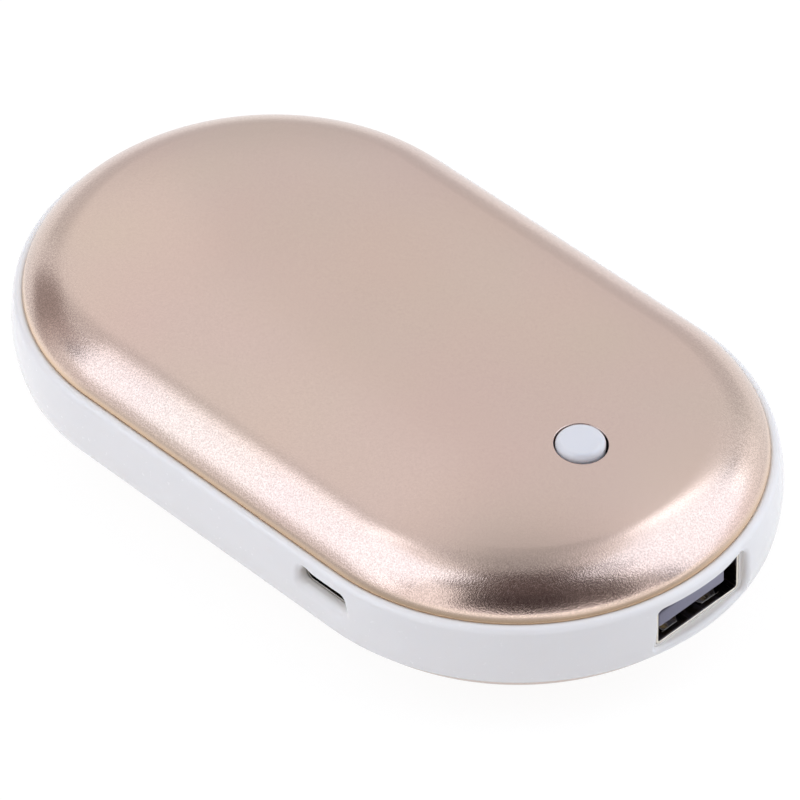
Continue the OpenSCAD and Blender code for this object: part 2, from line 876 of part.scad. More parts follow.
// Outline of the inlet's metal shell, with its two lower corners cut off
module inlet_outline(margin) {
    w = inlet_w / 2 - margin;
    h = inlet_h / 2 - margin;
    polygon([
        [-w, h],
        [w, h],
        [w, inlet_chamfer - h],
        [w - inlet_chamfer, -h],
        [inlet_chamfer - w, -h],
        [-w, inlet_chamfer - h]
    ]);
}

// Carries an outline in X and Z from one depth behind the inlet's mouth to another
module inlet_run(from, to) {
    translate([inlet_x, inlet_y + to, inlet_z])
        rotate([90, 0, 0])
            linear_extrude(to - from)
                children();
}

module micro_usb_shell() {
    ear_l = 0.9;
    ear_x = (inlet_w + ear_l) / 2 - eps;
    strip_room = inlet_strip_w + 0.14;
    slot_y = inlet_strip_back_y - inlet_strip_t - 0.07;
    color([0.72, 0.72, 0.7])
        placed() {
            difference() {
                inlet_run(0, inlet_length)
                    inlet_outline(0);
                inlet_run(-past, inlet_length - inlet_sheet)
                    inlet_outline(inlet_sheet);
                translate([inlet_x - strip_room / 2, slot_y, board_top - eps])
                    for (i = [-2 : 2])
                        translate([i * inlet_strip_pitch, 0, 0])
                            cube([strip_room, inlet_length, strip_room]);
            }
            for (side = [-1, 1])
                translate([inlet_x + side * ear_x, inlet_y + inlet_length - 1.6, inlet_z])
                    cube([ear_l, 1.2, inlet_sheet], center = true);
        }
}

module micro_usb_tongue() {
    gap = 0.05;
    strip_room = inlet_strip_w + 0.08;
    tongue_bottom = inlet_z + inlet_tongue_top - inlet_tongue_t;
    color([0.13, 0.13, 0.14])
        placed()
            difference() {
                union() {
                    inlet_run(0.5, inlet_length - inlet_sheet - gap)
                        translate([-inlet_tongue_w / 2, inlet_tongue_top - inlet_tongue_t])
                            square([inlet_tongue_w, inlet_tongue_t]);
                    inlet_run(inlet_length - inlet_base_length, inlet_length - inlet_sheet - gap)
                        inlet_outline(inlet_sheet + gap);
                }
                translate([inlet_x - strip_room / 2, inlet_y - past, tongue_bottom - past])
                    for (i = [-2 : 2])
                        translate([i * inlet_strip_pitch, 0, 0])
                            cube([strip_room, inlet_length + 2 * past, past - eps]);
            }
}

// Five contact strips under the inlet's tongue, down the back and out on the board
module micro_usb_contacts() {
    strip_z = inlet_z + inlet_tongue_top - inlet_tongue_t - inlet_strip_t;
    front_y = inlet_y + 0.8;
    foot_z = board_top + 0.02;
    foot_l = inlet_y + inlet_length + inlet_foot - inlet_strip_back_y;
    color([0.8, 0.68, 0.36])
        placed()
            for (i = [-2 : 2])
                translate([inlet_x + i * inlet_strip_pitch - inlet_strip_w / 2, 0, 0]) {
                    translate([0, front_y, strip_z])
                        cube([inlet_strip_w, inlet_strip_back_y - front_y, inlet_strip_t]);
                    translate([0, inlet_strip_back_y - inlet_strip_t, foot_z])
                        cube([inlet_strip_w, inlet_strip_t, strip_z + inlet_strip_t - foot_z]);
                    translate([0, inlet_strip_back_y - inlet_strip_t, foot_z])
                        cube([inlet_strip_w, foot_l, inlet_strip_t]);
                }
}

// Chip with flat legs along its two long sides, lying along Y
module chip(x, y, size, legs) {
    overlap = 0.2;
    leg = [chip_leg_reach + overlap, chip_leg_w, 2 * chip_leg_t];
    leg_x = (size.x + chip_leg_reach - overlap) / 2;
    row_y = (legs - 1) * chip_leg_pitch / 2;
    translate([x - size.x / 2, y - size.y / 2, board_top + chip_leg_t])
        cube(size);
    for (side = [-1, 1], i = [0 : legs - 1])
        translate([x + side * leg_x, y + i * chip_leg_pitch - row_y, board_top + chip_leg_t])
            cube(leg, center = true);
}

module control_chip() {
    color([0.11, 0.11, 0.12])
        placed()
            chip(control_chip_x, 0, control_chip_size, 8);
}

module charger_chip() {
    color([0.11, 0.11, 0.12])
        placed()
            chip(charger_chip_x, charger_chip_y, charger_chip_size, 4);
}

// Drum core: a round base and cap on a thinner waist that carries the winding
module inductor_core() {
    color([0.2, 0.2, 0.22])
        placed()
            translate([coil_x, coil_y, board_top]) {
                cylinder(r = coil_flange_r, h = coil_flange_t);
                cylinder(r = coil_waist_r, h = coil_h);
                translate([0, 0, coil_h - coil_flange_t])
                    cylinder(r = coil_flange_r, h = coil_flange_t);
            }
}

module inductor_winding() {
    gap = 0.05;
    color([0.72, 0.4, 0.2])
        placed()
            translate([coil_x, coil_y, board_top + coil_flange_t + gap])
                difference() {
                    cylinder(r = coil_flange_r - 0.4, h = coil_h - 2 * coil_flange_t - 2 * gap);
                    translate([0, 0, -past])
                        cylinder(r = coil_waist_r + gap, h = coil_h + 2 * past);
                }
}

// Small blocks on the board, one at each place
module small_parts(places, size) {
    for (p = places)
        translate([p.x - size.x / 2, p.y - size.y / 2, board_top])
            cube(size);
}

module power_transistors() {
    places = [for (i = [0, 1]) [transistor_x, -transistor_y - i * transistor_pitch]];
    color([0.11, 0.11, 0.12])
        placed()
            small_parts(places, transistor_size);
}

// A row along the board's edge that steps in where the edge turns
module capacitors() {
    places = [
        for (i = [0 : 3])
            [capacitor_x + i * capacitor_pitch, capacitor_y - capacitor_size.x * max(i - 2, 0)]
    ];
    color([0.62, 0.5, 0.36])
        placed()
            small_parts(places, capacitor_size);
}

module resistors() {
    places = [for (side = [-1, 1], i = [0 : 3]) [resistor_x + i * resistor_pitch, side * resistor_y]];
    color([0.15, 0.15, 0.16])
        placed()
            small_parts(places, resistor_size);
}

module indicator_leds() {
    places = [for (side = [-1, 1]) [button_x, side * (switch_side + lamp_size.y + 2 * lamp_gap) / 2]];
    color([0.95, 0.93, 0.85])
        placed()
            small_parts(places, lamp_size);
}

module cell_block(bottom, top) {
    translate([(cell_front_x + cell_back_x) / 2, 0, bottom])
        linear_extrude(top - bottom)
            rounded_rect(cell_length, cell_width, cell_corner_r);
}

module upper_cell() {
    color([0.7, 0.71, 0.73])
        placed()
            cell_block(cell_bottom_z, cell_top_z);
}

module lower_cell() {
    color([0.7, 0.71, 0.73])
        placed()
            mirror([0, 0, 1])
                cell_block(cell_bottom_z, cell_top_z);
}

module cell_pad() {
    pad_l = cell_length - 2 * pad_margin;
    pad_w = cell_width - 2 * pad_margin;
    color([0.9, 0.89, 0.84])
        placed()
            translate([(cell_front_x + cell_back_x) / 2, 0, 0])
                cube([pad_l, pad_w, cell_pad_t], center = true);
}

// Foam between a cell and the straight part of its dish, crowned like the dish
module foam_block() {
    foam_top_r = crown_radius - liner_in - foam_gap;
    intersection() {
        translate([0, 0, joint_z + crown_centre.y])
            rotate([0, 90, 0])
                cylinder(r = foam_top_r, h = body_length, center = true, $fn = 360);
        translate([-half_straight, foam_margin - cell_width / 2, cell_top_z])
            cube([cell_front_x - foam_margin + half_straight, cell_width - 2 * foam_margin, mid_z]);
    }
}

module upper_foam() {
    color([0.86, 0.86, 0.84])
        placed()
            foam_block();
}

module lower_foam() {
    color([0.86, 0.86, 0.84])
        placed()
            mirror([0, 0, 1])
                foam_block();
}

// Nickel tabs: out of each cell's front face, then down or up to the protection board
module cell_tabs() {
    reach = 1.6;
    color([0.78, 0.78, 0.76])
        placed()
            for (up = [0, 1], side = [-1, 1])
                mirror([0, 0, up])
                    translate([cell_front_x, side * tab_y - tab_w / 2, 0]) {
                        translate([0, 0, tab_z])
                            cube([reach, tab_w, tab_t]);
                        translate([reach - tab_t, 0, guard_t / 2])
                            cube([tab_t, tab_w, tab_z + tab_t - guard_t / 2]);
                    }
}

module protection_board() {
    color([0.1, 0.32, 0.2])
        placed()
            translate([guard_x, -guard_w / 2, -guard_t / 2])
                cube([guard_depth, guard_w, guard_t]);
}

module thermal_fuse() {
    color([0.85, 0.84, 0.8])
        placed()
            translate([guard_x + 1.4, -1.6, guard_t / 2])
                cube([1.5, 3.2, 1]);
}

// Two leads from the protection board, over the gap and down on the main board
module battery_leads() {
    color([0.7, 0.1, 0.08])
        placed()
            for (side = [-1, 1])
                lead([
                    [guard_x + 2, side * lead_y, guard_t / 2],
                    [guard_x + 2, side * lead_y, 2.4],
                    [board_back_x + 1.6, side * lead_y, 2.4],
                    [board_back_x + 1.6, side * lead_y, board_top]
                ], lead_r);
}

module film_blank() {
    intersection() {
        difference() {
            pillow(film_out, 0);
            pillow(film_in, past);
        }
        linear_extrude(mid_z)
            stadium(film_r);
    }
}

module upper_heater_film() {
    color([0.75, 0.45, 0.15])
        placed()
            difference() {
                film_blank();
                translate([button_x, 0, 0])
                    cylinder(r = film_button_r, h = mid_z);
            }
}

module lower_heater_film() {
    color([0.75, 0.45, 0.15])
        placed()
            mirror([0, 0, 1])
                film_blank();
}

// Leads of both films, each straight through its hole in a dish and on to the board
module heater_leads() {
    film_z = crown_z(medial_distance(heater_lead_x, heater_lead_ys[1]), film_in) - 0.15;
    color([0.88, 0.87, 0.82])
        placed()
            for (y = heater_lead_ys) {
                bar([heater_lead_x, y, board_top], [heater_lead_x, y, film_z], lead_r);
                bar([heater_lead_x, y, -film_z], [heater_lead_x, y, board_bottom], lead_r);
            }
}

// Bead on the lower dish, with two thin legs up to the board
module thermistor() {
    bead_r = 1;
    leg_r = 0.25;
    bead_z = -crown_z(medial_distance(thermistor_x, 0), liner_in) + bead_r + 0.05;
    color([0.15, 0.15, 0.15])
        placed() {
            translate([thermistor_x, 0, bead_z])
                sphere(bead_r);
            for (side = [-1, 1])
                bar([thermistor_x, side * 0.5, bead_z], [thermistor_x, side * 1.2, board_bottom], leg_r);
        }
}

// Back face of a side lug, for its place along the cells from 0 to 1
function lug_back_x(part) = cell_back_x + part * cell_length - lug_w / 2;

// Frame round both cells, with lugs that reach the ring's shelf
module cell_frame() {
    inner_l = cell_length + 2 * frame_gap;
    inner_w = cell_width + 2 * frame_gap;
    outer_l = inner_l + 2 * frame_wall;
    outer_w = inner_w + 2 * frame_wall;
    reach = shelf_r - 0.02;
    centre_x = (cell_front_x + cell_back_x) / 2;
    color([0.2, 0.2, 0.21])
        placed()
            difference() {
                union() {
                    translate([centre_x, 0, -frame_half_h])
                        linear_extrude(2 * frame_half_h)
                            rounded_rect(outer_l, outer_w, cell_corner_r);
                    intersection() {
                        translate([0, 0, -shelf_half])
                            linear_extrude(2 * shelf_half)
                                stadium(reach);
                        union() {
                            for (part = lug_xs)
                                translate([lug_back_x(part), -ring_r, -shelf_half])
                                    cube([lug_w, 2 * ring_r, 2 * shelf_half]);
                            translate([-body_length / 2, -lug_w / 2, -shelf_half])
                                cube([body_length / 2 + cell_back_x, lug_w, 2 * shelf_half]);
                        }
                    }
                }
                translate([centre_x, 0, -frame_half_h - past])
                    linear_extrude(2 * frame_half_h + 2 * past)
                        rounded_rect(inner_l, inner_w, cell_corner_r);
                translate([cell_front_x, -guard_w / 2 - 1, -frame_half_h - past])
                    cube([frame_gap + frame_wall + past, guard_w + 2, 2 * frame_half_h + 2 * past]);
            }
}

module screw(length) {
    difference() {
        union() {
            cylinder(r = screw_head_r, h = screw_head_t);
            translate([0, 0, -length])
                cylinder(r = screw_d / 2, h = length + eps);
        }
        for (turn = [0, 90])
            rotate([0, 0, turn])
                translate([-screw_cross_l / 2, -screw_cross_w / 2, screw_head_t - screw_cross_depth])
                    cube([screw_cross_l, screw_cross_w, past]);
    }
}

module case_screws() {
    color([0.7, 0.7, 0.72])
        placed()
            for (p = case_posts)
                translate([p.x, p.y, case_screw_seat])
                    mirror([0, 0, 1])
                        screw(case_screw_length);
}

module board_screws() {
    color([0.7, 0.7, 0.72])
        placed()
            for (p = board_posts)
                translate([p.x, p.y, board_top])
                    screw(board_screw_length);
}

top_shell();
bottom_shell();
middle_ring();
top_liner();
bottom_liner();
button_cap();
switch_base();
switch_cover();
switch_plunger();
switch_dome();
switch_terminals();
circuit_board();
usb_a_shell();
usb_a_tongue();
usb_a_contacts();
micro_usb_shell();
micro_usb_tongue();
micro_usb_contacts();
control_chip();
charger_chip();
inductor_core();
inductor_winding();
power_transistors();
capacitors();
resistors();
indicator_leds();
upper_cell();
lower_cell();
cell_pad();
upper_foam();
lower_foam();
cell_tabs();
protection_board();
thermal_fuse();
battery_leads();
upper_heater_film();
lower_heater_film();
heater_leads();
thermistor();
cell_frame();
case_screws();
board_screws();
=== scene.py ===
import json
import math
import bpy
import bmesh
import numpy as np
from mathutils import Matrix, Vector


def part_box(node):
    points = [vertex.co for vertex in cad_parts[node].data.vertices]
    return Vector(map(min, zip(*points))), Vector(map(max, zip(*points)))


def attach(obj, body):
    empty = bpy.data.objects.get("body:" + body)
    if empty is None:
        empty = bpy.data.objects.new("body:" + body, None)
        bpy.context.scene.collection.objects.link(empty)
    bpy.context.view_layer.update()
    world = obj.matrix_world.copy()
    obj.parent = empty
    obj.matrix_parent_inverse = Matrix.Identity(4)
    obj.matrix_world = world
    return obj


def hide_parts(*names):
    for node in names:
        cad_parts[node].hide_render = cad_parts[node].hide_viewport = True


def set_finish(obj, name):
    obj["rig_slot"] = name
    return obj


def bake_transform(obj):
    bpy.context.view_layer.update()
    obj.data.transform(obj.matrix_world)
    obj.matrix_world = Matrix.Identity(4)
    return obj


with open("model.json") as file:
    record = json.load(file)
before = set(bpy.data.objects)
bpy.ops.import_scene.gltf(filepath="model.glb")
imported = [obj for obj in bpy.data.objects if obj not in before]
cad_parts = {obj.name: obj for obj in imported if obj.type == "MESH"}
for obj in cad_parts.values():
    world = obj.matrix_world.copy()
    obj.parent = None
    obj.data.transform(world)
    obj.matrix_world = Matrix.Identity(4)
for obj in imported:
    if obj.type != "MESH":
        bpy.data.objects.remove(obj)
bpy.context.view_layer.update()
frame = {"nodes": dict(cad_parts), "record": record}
print("frame loaded")


# Dictionary whose values are read as attributes too
class Values(dict):
    __getattr__ = dict.__getitem__


# Sizes are in millimetres, counted from the mid plane of the ring, as in the part's source.
# midHeight lifts them to the face that the warmer rests on.
mm = 0.001
body = Values(halfStraight=21.5, ringRadius=31.0, ledge=1.55, jointHeight=4.3, midHeight=11.852757)
jointRadius = body.ringRadius - body.ledge
pieces = []  # every new piece of the warmer

# Shared shapes


# Points on an arc: the centre plus the radius times (cos, sin) of evenly spaced angles, in degrees
def arc(centre, radius, start, end, count):
    a = np.radians(np.linspace(start, end, count))
    return np.column_stack([centre[0] + radius * np.cos(a), centre[1] + radius * np.sin(a)])


# Points on a straight line between two points, both ends included
def line(start, end, count):
    t = np.linspace(0, 1, count)[:, None]
    return np.array(start) * (1 - t) + np.array(end) * t


# The way round the body on the ring's widest line: two straight sides joined by two half circles, with 0
# in the middle of the -Y side
halfTurn = math.pi * body.ringRadius
straight = 2 * body.halfStraight
wayKnots = np.cumsum([-body.halfStraight, straight, halfTurn, straight, halfTurn])
wayLength = wayKnots[-1] - wayKnots[0]


# Point at a distance r straight out from the body's middle line: the middle line's point plus r times
# the outward direction, which turns by half a turn along each round end
def roundBody(way, r):
    h = body.halfStraight
    turned = np.mod(way - wayKnots[0], wayLength) + wayKnots[0]
    baseX = np.interp(turned, wayKnots, [-h, h, h, -h, -h])
    angle = np.radians(np.interp(turned, wayKnots, [-90, -90, 90, 90, 270]))
    return baseX + r * np.cos(angle), r * np.sin(angle)


# Distance of a place from the body's middle line, seen from above
def fromMiddleLine(x, y):
    return np.hypot(np.maximum(np.abs(x) - body.halfStraight, 0), y)


# Points of a grid from three coordinates, each spread over the whole grid
def gridPoints(x, y, z):
    return np.stack(np.broadcast_arrays(x, y, z), -1)


# Quads between neighbouring rows and columns of a grid of points; columns close on themselves
def gridFaces(rows, columns, closeRows=False, skip=None):
    i = np.arange(rows if closeRows else rows - 1)
    j = np.arange(columns)
    ii, jj = np.meshgrid(i, j, indexing="ij")
    if skip is not None:
        keep = ~skip(ii, jj)
        ii, jj = ii[keep], jj[keep]
    nextI = (ii + 1) % rows
    nextJ = (jj + 1) % columns
    corners = [ii * columns + jj, ii * columns + nextJ, nextI * columns + nextJ, nextI * columns + jj]
    return np.stack(corners, -1).reshape(-1, 4)


# Quads of a grid whose columns stay open: those from the last column back to the first are left out
def openFaces(rows, columns):
    return gridFaces(rows, columns, skip=lambda i, j: j == columns - 1)


# Outline turned once round an upright axis: each point goes out by its first number and up by its second
def turnedRound(outline, axis, columns):
    turn = np.linspace(0, 2 * np.pi, columns, endpoint=False)
    points = gridPoints(axis[0] + outline[:, :1] * np.cos(turn), axis[1] + outline[:, :1] * np.sin(turn),
                        outline[:, 1:])
    return points, gridFaces(len(points), columns)


# New object in the scene
def addItem(name, data):
    item = bpy.data.objects.new(name, data)
    bpy.context.scene.collection.objects.link(item)
    return item


# Mesh object from grids of points in millimetres, lifted to its height and welded, faces outward
def makePiece(name, grids, bodyName, slotName, nodes, lift=True, weld=2e-7):
    verts, faces, start = [], [], 0
    for points, quads in grids:
        flat = points.reshape(-1, 3)
        verts.append(flat)
        faces.append(quads + start)
        start += len(flat)
    verts = np.concatenate(verts) + (np.array([0, 0, body.midHeight]) if lift else 0)
    faces = np.concatenate(faces)
    mesh = bpy.data.meshes.new(name)
    mesh.from_pydata((verts * mm).tolist(), [], faces.tolist())
    tidy = bmesh.new()
    tidy.from_mesh(mesh)
    bmesh.ops.remove_doubles(tidy, verts=tidy.verts, dist=weld)
    bmesh.ops.dissolve_degenerate(tidy, edges=tidy.edges, dist=weld)
    bmesh.ops.delete(tidy, geom=[v for v in tidy.verts if not v.link_faces], context="VERTS")
    bmesh.ops.recalc_face_normals(tidy, faces=tidy.faces)
    tidy.to_mesh(mesh)
    tidy.free()
    mesh.shade_smooth()
    piece = addItem(name, mesh)
    if bodyName:
        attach(piece, bodyName)
    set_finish(piece, slotName)
    if nodes:
        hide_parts(*nodes)
    pieces.append(piece)
    return piece


# A sheet's thickness and its softened cut edges: offset -1 puts the thickness inside the surface that was
# drawn, and 0 half on each side of it
def finishSheet(piece, thickness, offset, edge, segments=2, sharp=50):
    sheet = piece.modifiers.new("sheet", "SOLIDIFY")
    sheet.thickness = thickness * mm
    sheet.offset = offset
    bevel = piece.modifiers.new("edges", "BEVEL")
    bevel.width = edge * mm
    bevel.segments = segments
    bevel.limit_method = "ANGLE"
    bevel.angle_limit = math.radians(sharp)


# Depth of each vertex of a piece behind its outside, in millimetres, which its material reads for painted
# shade
def setDepth(piece, depthOf):
    mesh = piece.data
    places = np.empty(len(mesh.vertices) * 3, np.float32)
    mesh.vertices.foreach_get("co", places)
    places = places.reshape(-1, 3).astype(float) / mm - np.array([0, 0, body.midHeight])
    layer = mesh.attributes.new("depth", "FLOAT", "POINT")
    layer.data.foreach_set("value", np.maximum(depthOf(places), 0).astype(np.float32))


# Camera

camera = Values(
    focalPixels=6287.04, pictureWidth=800, sensorWidth=36, azimuth=46.998, elevation=42.242,
    roll=-1.674, distance=747.88, aside=1.032, above=-1.274, clipNear=0.02, clipFar=50,
)


# The camera's axes: right and up turned by the roll, and the direction back from the warmer to the camera.
# It stands at its distance back, moved a little aside and down.
def placeCamera():
    az, el, roll = (math.radians(camera[k]) for k in ("azimuth", "elevation", "roll"))
    right = Vector((math.cos(az), math.sin(az), 0))
    back = Vector((math.sin(az) * math.cos(el), -math.cos(az) * math.cos(el), math.sin(el)))
    up = back.cross(right)
    camX = math.cos(roll) * right + math.sin(roll) * up
    camY = -math.sin(roll) * right + math.cos(roll) * up
    place = (camera.aside * camX + camera.above * camY + camera.distance * back) * mm
    place.z += body.midHeight * mm
    data = bpy.data.cameras.new("camera")
    data.sensor_fit = "HORIZONTAL"
    data.sensor_width = camera.sensorWidth
    data.lens = camera.focalPixels / camera.pictureWidth * camera.sensorWidth
    data.clip_start = camera.clipNear
    data.clip_end = camera.clipFar
    item = addItem("camera", data)
    item.matrix_world = Matrix.Translation(place) @ Matrix((camX, camY, back)).transposed().to_4x4()
    bpy.context.scene.camera = item
    return back


camBack = placeCamera()
print("camera placed")

# Metal shells

shell = Values(
    wall=0.9, skirt=0.6, lipRadius=3.0, lipStart=10.0, lipEnd=35.0, shoulderRadius=10.5,
    crownAngle=11.2, rollRadius=0.45, rollStart=16.0, rollEnd=-48.0, rollSteps=9,
    footInset=0.21, footDrop=0.02, innerRadius=20.0, holeX=31.55, holeY=0.2,
    holeRadius=3.18, holeEdge=0.12, holeEdgeSteps=7, straightColumns=44, endColumns=120,
    outsideRays=44, outsideRows=(8, 44, 16, 4),  # rows of crown, shoulder, lip and foot
    insideRays=12, insideRows=(3, 12, 6, 2), crowding=1.6,  # towards the hole
)


# Centres and radii of the three arcs of the shell's half section, above the joint: the lip, the shoulder
# that goes on from it in the same direction, and the crown that does the same up to the middle
def shellArcs():
    lip = np.array([jointRadius - shell.lipRadius * math.cos(math.radians(shell.lipStart)),
                    -shell.lipRadius * math.sin(math.radians(shell.lipStart))])
    d = math.radians(shell.lipEnd)
    shoulder = lip + (shell.lipRadius - shell.shoulderRadius) * np.array([math.cos(d), math.sin(d)])
    a = math.radians(90 - shell.crownAngle)
    top = shoulder + shell.shoulderRadius * np.array([math.cos(a), math.sin(a)])
    crownRadius = top[0] / math.sin(math.radians(shell.crownAngle))
    crown = np.array([0.0, top[1] - crownRadius * math.cos(math.radians(shell.crownAngle))])
    return lip, shoulder, crown, crownRadius, top[0]


lipCentre, shoulderCentre, crownCentre, crownRadius, crownEdge = shellArcs()


# Height of the crowned face at r from the middle line: a circle's arc about the crown's centre
def crownHeight(r, inset):
    return body.jointHeight + crownCentre[1] + np.sqrt((crownRadius - inset) ** 2 - r ** 2)


# Half section from the crown's outer part down to the foot: three arcs and a straight foot. Outside, the
# lip's arc first rolls under with a small radius, and the foot stands a little further in.
def rimSection(inset, counts, rolled=False):
    crownR = np.linspace(shell.innerRadius, crownEdge * (1 - inset / crownRadius), counts[0])
    crown = np.column_stack([crownR, crownHeight(crownR, inset) - body.jointHeight])
    shoulder = arc(shoulderCentre, shell.shoulderRadius - inset, 90 - shell.crownAngle, shell.lipEnd,
                   counts[1])
    lipFoot = shell.rollStart if rolled else shell.lipStart
    lip = arc(lipCentre, shell.lipRadius - inset, shell.lipEnd, lipFoot, counts[2])
    if rolled:
        a = math.radians(lipFoot)
        centre = lip[-1] - shell.rollRadius * np.array([math.cos(a), math.sin(a)])
        roll = arc(centre, shell.rollRadius, lipFoot, shell.rollEnd, shell.rollSteps)
        heel = [jointRadius - shell.footInset, roll[-1][1] - shell.footDrop]
        lip = np.concatenate([lip, roll[1:], [heel]])
    foot = line(lip[-1], [lip[-1][0], -shell.skirt], counts[3])
    section = np.concatenate([crown, shoulder[1:], lip[1:], foot[1:]])
    return section + np.array([0, body.jointHeight])


# Columns round the body: even steps on each straight side and each round end
def wayColumns(straightSteps, endSteps):
    steps = [np.linspace(wayKnots[k], wayKnots[k + 1], n, endpoint=False)
             for k, n in enumerate((straightSteps, endSteps, straightSteps, endSteps))]
    return np.concatenate(steps)


# Rows of a face from the hole (or pole) out to the inner outline, along straight rays in plan, at the
# crown's height; then rows of the rim section
def faceRows(way, centre, holeRadius, inset, rays, counts, rolled=False):
    qx, qy = roundBody(way, shell.innerRadius)
    dx, dy = qx - centre[0], qy - centre[1]
    reach = np.hypot(dx, dy)
    hx, hy = centre[0] + holeRadius * dx / reach, centre[1] + holeRadius * dy / reach
    t = np.linspace(0, 1, rays)[:-1, None] ** shell.crowding
    x = hx + t * (qx - hx)
    y = hy + t * (qy - hy)
    inner = gridPoints(x, y, crownHeight(fromMiddleLine(x, y), inset))
    section = rimSection(inset, counts, rolled)
    outer = gridPoints(*roundBody(way[None, :], section[:, :1]), section[:, 1:])
    return np.concatenate([inner, outer])


# One shell: the rows of its outside, then those of its inside from the foot back up. Above, a quarter circle
# from the wall up to the face rolls the hole's edge. Below, the heights are turned over, and cut level where
# the warmer rests.
def makeShell(name, node, upper):
    way = wayColumns(shell.straightColumns, shell.endColumns)
    centre = (shell.holeX, shell.holeY) if upper else (0.0, 0.0)
    edge = shell.holeEdge if upper else 0
    hole = shell.holeRadius if upper else 0.0
    outside = faceRows(way, centre, hole + edge, 0.0, shell.outsideRays, shell.outsideRows, True)
    inside = faceRows(way, centre, hole, shell.wall, shell.insideRays, shell.insideRows)[::-1]
    rows = [outside, inside]
    if upper:
        start = outside[0]
        out = (start[:, :2] - np.array(centre)) / (hole + edge)
        turn = np.radians(np.linspace(0, 90, shell.holeEdgeSteps)[:-1])[:, None]
        radius = hole + edge * (1 - np.cos(turn))
        drop = edge * (1 - np.sin(turn))
        rolled = gridPoints(centre[0] + radius * out[:, 0], centre[1] + radius * out[:, 1],
                            start[:, 2] - drop)
        rows = [rolled, outside, inside]
    points = np.concatenate(rows)
    if not upper:
        points[..., 2] = np.maximum(-points[..., 2], -body.midHeight)
    faces = gridFaces(len(points), len(way), closeRows=upper)
    return makePiece(name, [(points, faces)], "case", "gold_aluminium", [node])


makeShell("top_shell_skin", "top_shell", True)
makeShell("bottom_shell_skin", "bottom_shell", False)
print("shells made")

# Plastic ring with its two recesses

ring = Values(
    bulgeRadius=15.0, bulgeRows=21, edgeRadius=0.9, edgeRows=11, jointGap=-0.15,
    grooveFloor=3.7, grooveTop=4.22, grooveEdge=4.275, grooveChamfer=0.025,
    pocketRadius=28.319, shelfRadius=26.832, shelfHalf=1.0, boxInset=0.012, weld=1.5e-6,
    columns=(24, 40, 28, 48, 40, 40, 140),  # between the stops of the way round
)
outletRecess = Values(
    halfWidth=7.1, halfHeight=3.15, corner=1.1, mouthHeight=0.0, reach=17.0,
    edge=0.25, lowEdge=0.95, sideEdge=0.8, softSide=1, floor=50.7,
    holeHalfWidth=6.65, holeHalfHeight=2.95, holeCorner=0.75, height=0.0,
    wider=0.42, widerFrom=6.4, widerOver=3,
)
inletRecess = Values(
    halfWidth=3.85, halfHeight=1.2, corner=1.1, mouthHeight=1.7, reach=6.6,
    edge=0.25, lowEdge=1.35, sideEdge=1.0, softSide=-1, floor=-29.5,
    holeHalfWidth=3.85, holeHalfHeight=1.325, holeCorner=0.35, height=1.8,
    wider=0.0, middle=20.3,
)
recessRows = Values(
    patch=9, patchCrowding=0.8, roll=8, wall=(0.08, 0.5, 0.92, 1.0), floor=(0.1, 0.9),
    inside=5, lowFrom=0.35, lowOver=1.2, sideFrom=0.3, sideOver=0.7,
)


# Middle of the rolled edge's circle and the angle at which it meets the bulge, where both circles touch
def ringEdge():
    e, b = ring.edgeRadius, ring.bulgeRadius
    edgeZ = body.jointHeight - e
    edgeX = body.ringRadius - b + math.sqrt((b - e) ** 2 - edgeZ ** 2)
    return edgeX, edgeZ, math.degrees(math.asin(edgeZ / (b - e)))


# The ring's outside, from the upper ledge to the lower one: rolled edge, bulge, rolled edge
def ringOutside():
    e, b = ring.edgeRadius, ring.bulgeRadius
    edgeX, edgeZ, turn = ringEdge()
    upper = arc((edgeX, edgeZ), e, 90, turn, ring.edgeRows)
    bulge = arc((body.ringRadius - b, 0), b, turn, -turn, ring.bulgeRows)
    lower = arc((edgeX, -edgeZ), e, -turn, -90, ring.edgeRows)
    return np.concatenate([upper, bulge[1:-1], lower]) - np.array([ring.boxInset, 0])


# The ring's inside, from the lower groove to the upper one: pocket, shelf, pocket, in as many rows as the
# outside, evenly spread along its length
def ringInside(count):
    p, s, h, g = ring.pocketRadius, ring.shelfRadius, ring.shelfHalf, ring.grooveFloor
    corners = np.array([[p, -g], [p, -h], [s, -h], [s, h], [p, h], [p, g]])
    walked = np.concatenate([[0], np.cumsum(np.hypot(*np.diff(corners, axis=0).T))])
    t = np.linspace(0, walked[-1], count)
    return np.column_stack([np.interp(t, walked, corners[:, 0]), np.interp(t, walked, corners[:, 1])])


outside = ringOutside()
inside = ringInside(len(outside))
grooveRadius = jointRadius + ring.jointGap
upperGroove = np.array([[grooveRadius, ring.grooveFloor], [grooveRadius, ring.grooveTop],
                        [grooveRadius + ring.grooveChamfer, ring.grooveEdge]])
lowerGroove = (upperGroove * [1, -1])[::-1]
ringLoop = np.concatenate([outside, lowerGroove, inside, upperGroove])
firstInside = len(outside) + len(lowerGroove)
outsideRows = (0, len(outside) - 1)
insideRows = (firstInside, firstInside + len(inside) - 1)

# Columns: the two recess windows start and end on a column
outletWay = wayKnots[1] + halfTurn / 2
spans = ((inletRecess.middle, inletRecess.reach),
         (outletWay, math.radians(outletRecess.reach) * body.ringRadius))
windowEnds = [middle + side * reach for middle, reach in spans for side in (-1, 1)]
stops = [wayKnots[0], *windowEnds, *wayKnots[2:]]
ringWay = np.concatenate([np.linspace(stops[k], stops[k + 1], n, endpoint=False)
                          for k, n in enumerate(ring.columns)])
columnStarts = np.concatenate([[0], np.cumsum(ring.columns)])
inletColumns = (columnStarts[1], columnStarts[2])
outletColumns = (columnStarts[3], columnStarts[4])


# Point of a section curve carried round the body; row is a fractional row number
def onSection(section, way, row):
    k = np.arange(len(section))
    x, y = roundBody(way, np.interp(row, k, section[:, 0]))
    return gridPoints(x, y, np.interp(row, k, section[:, 1]))


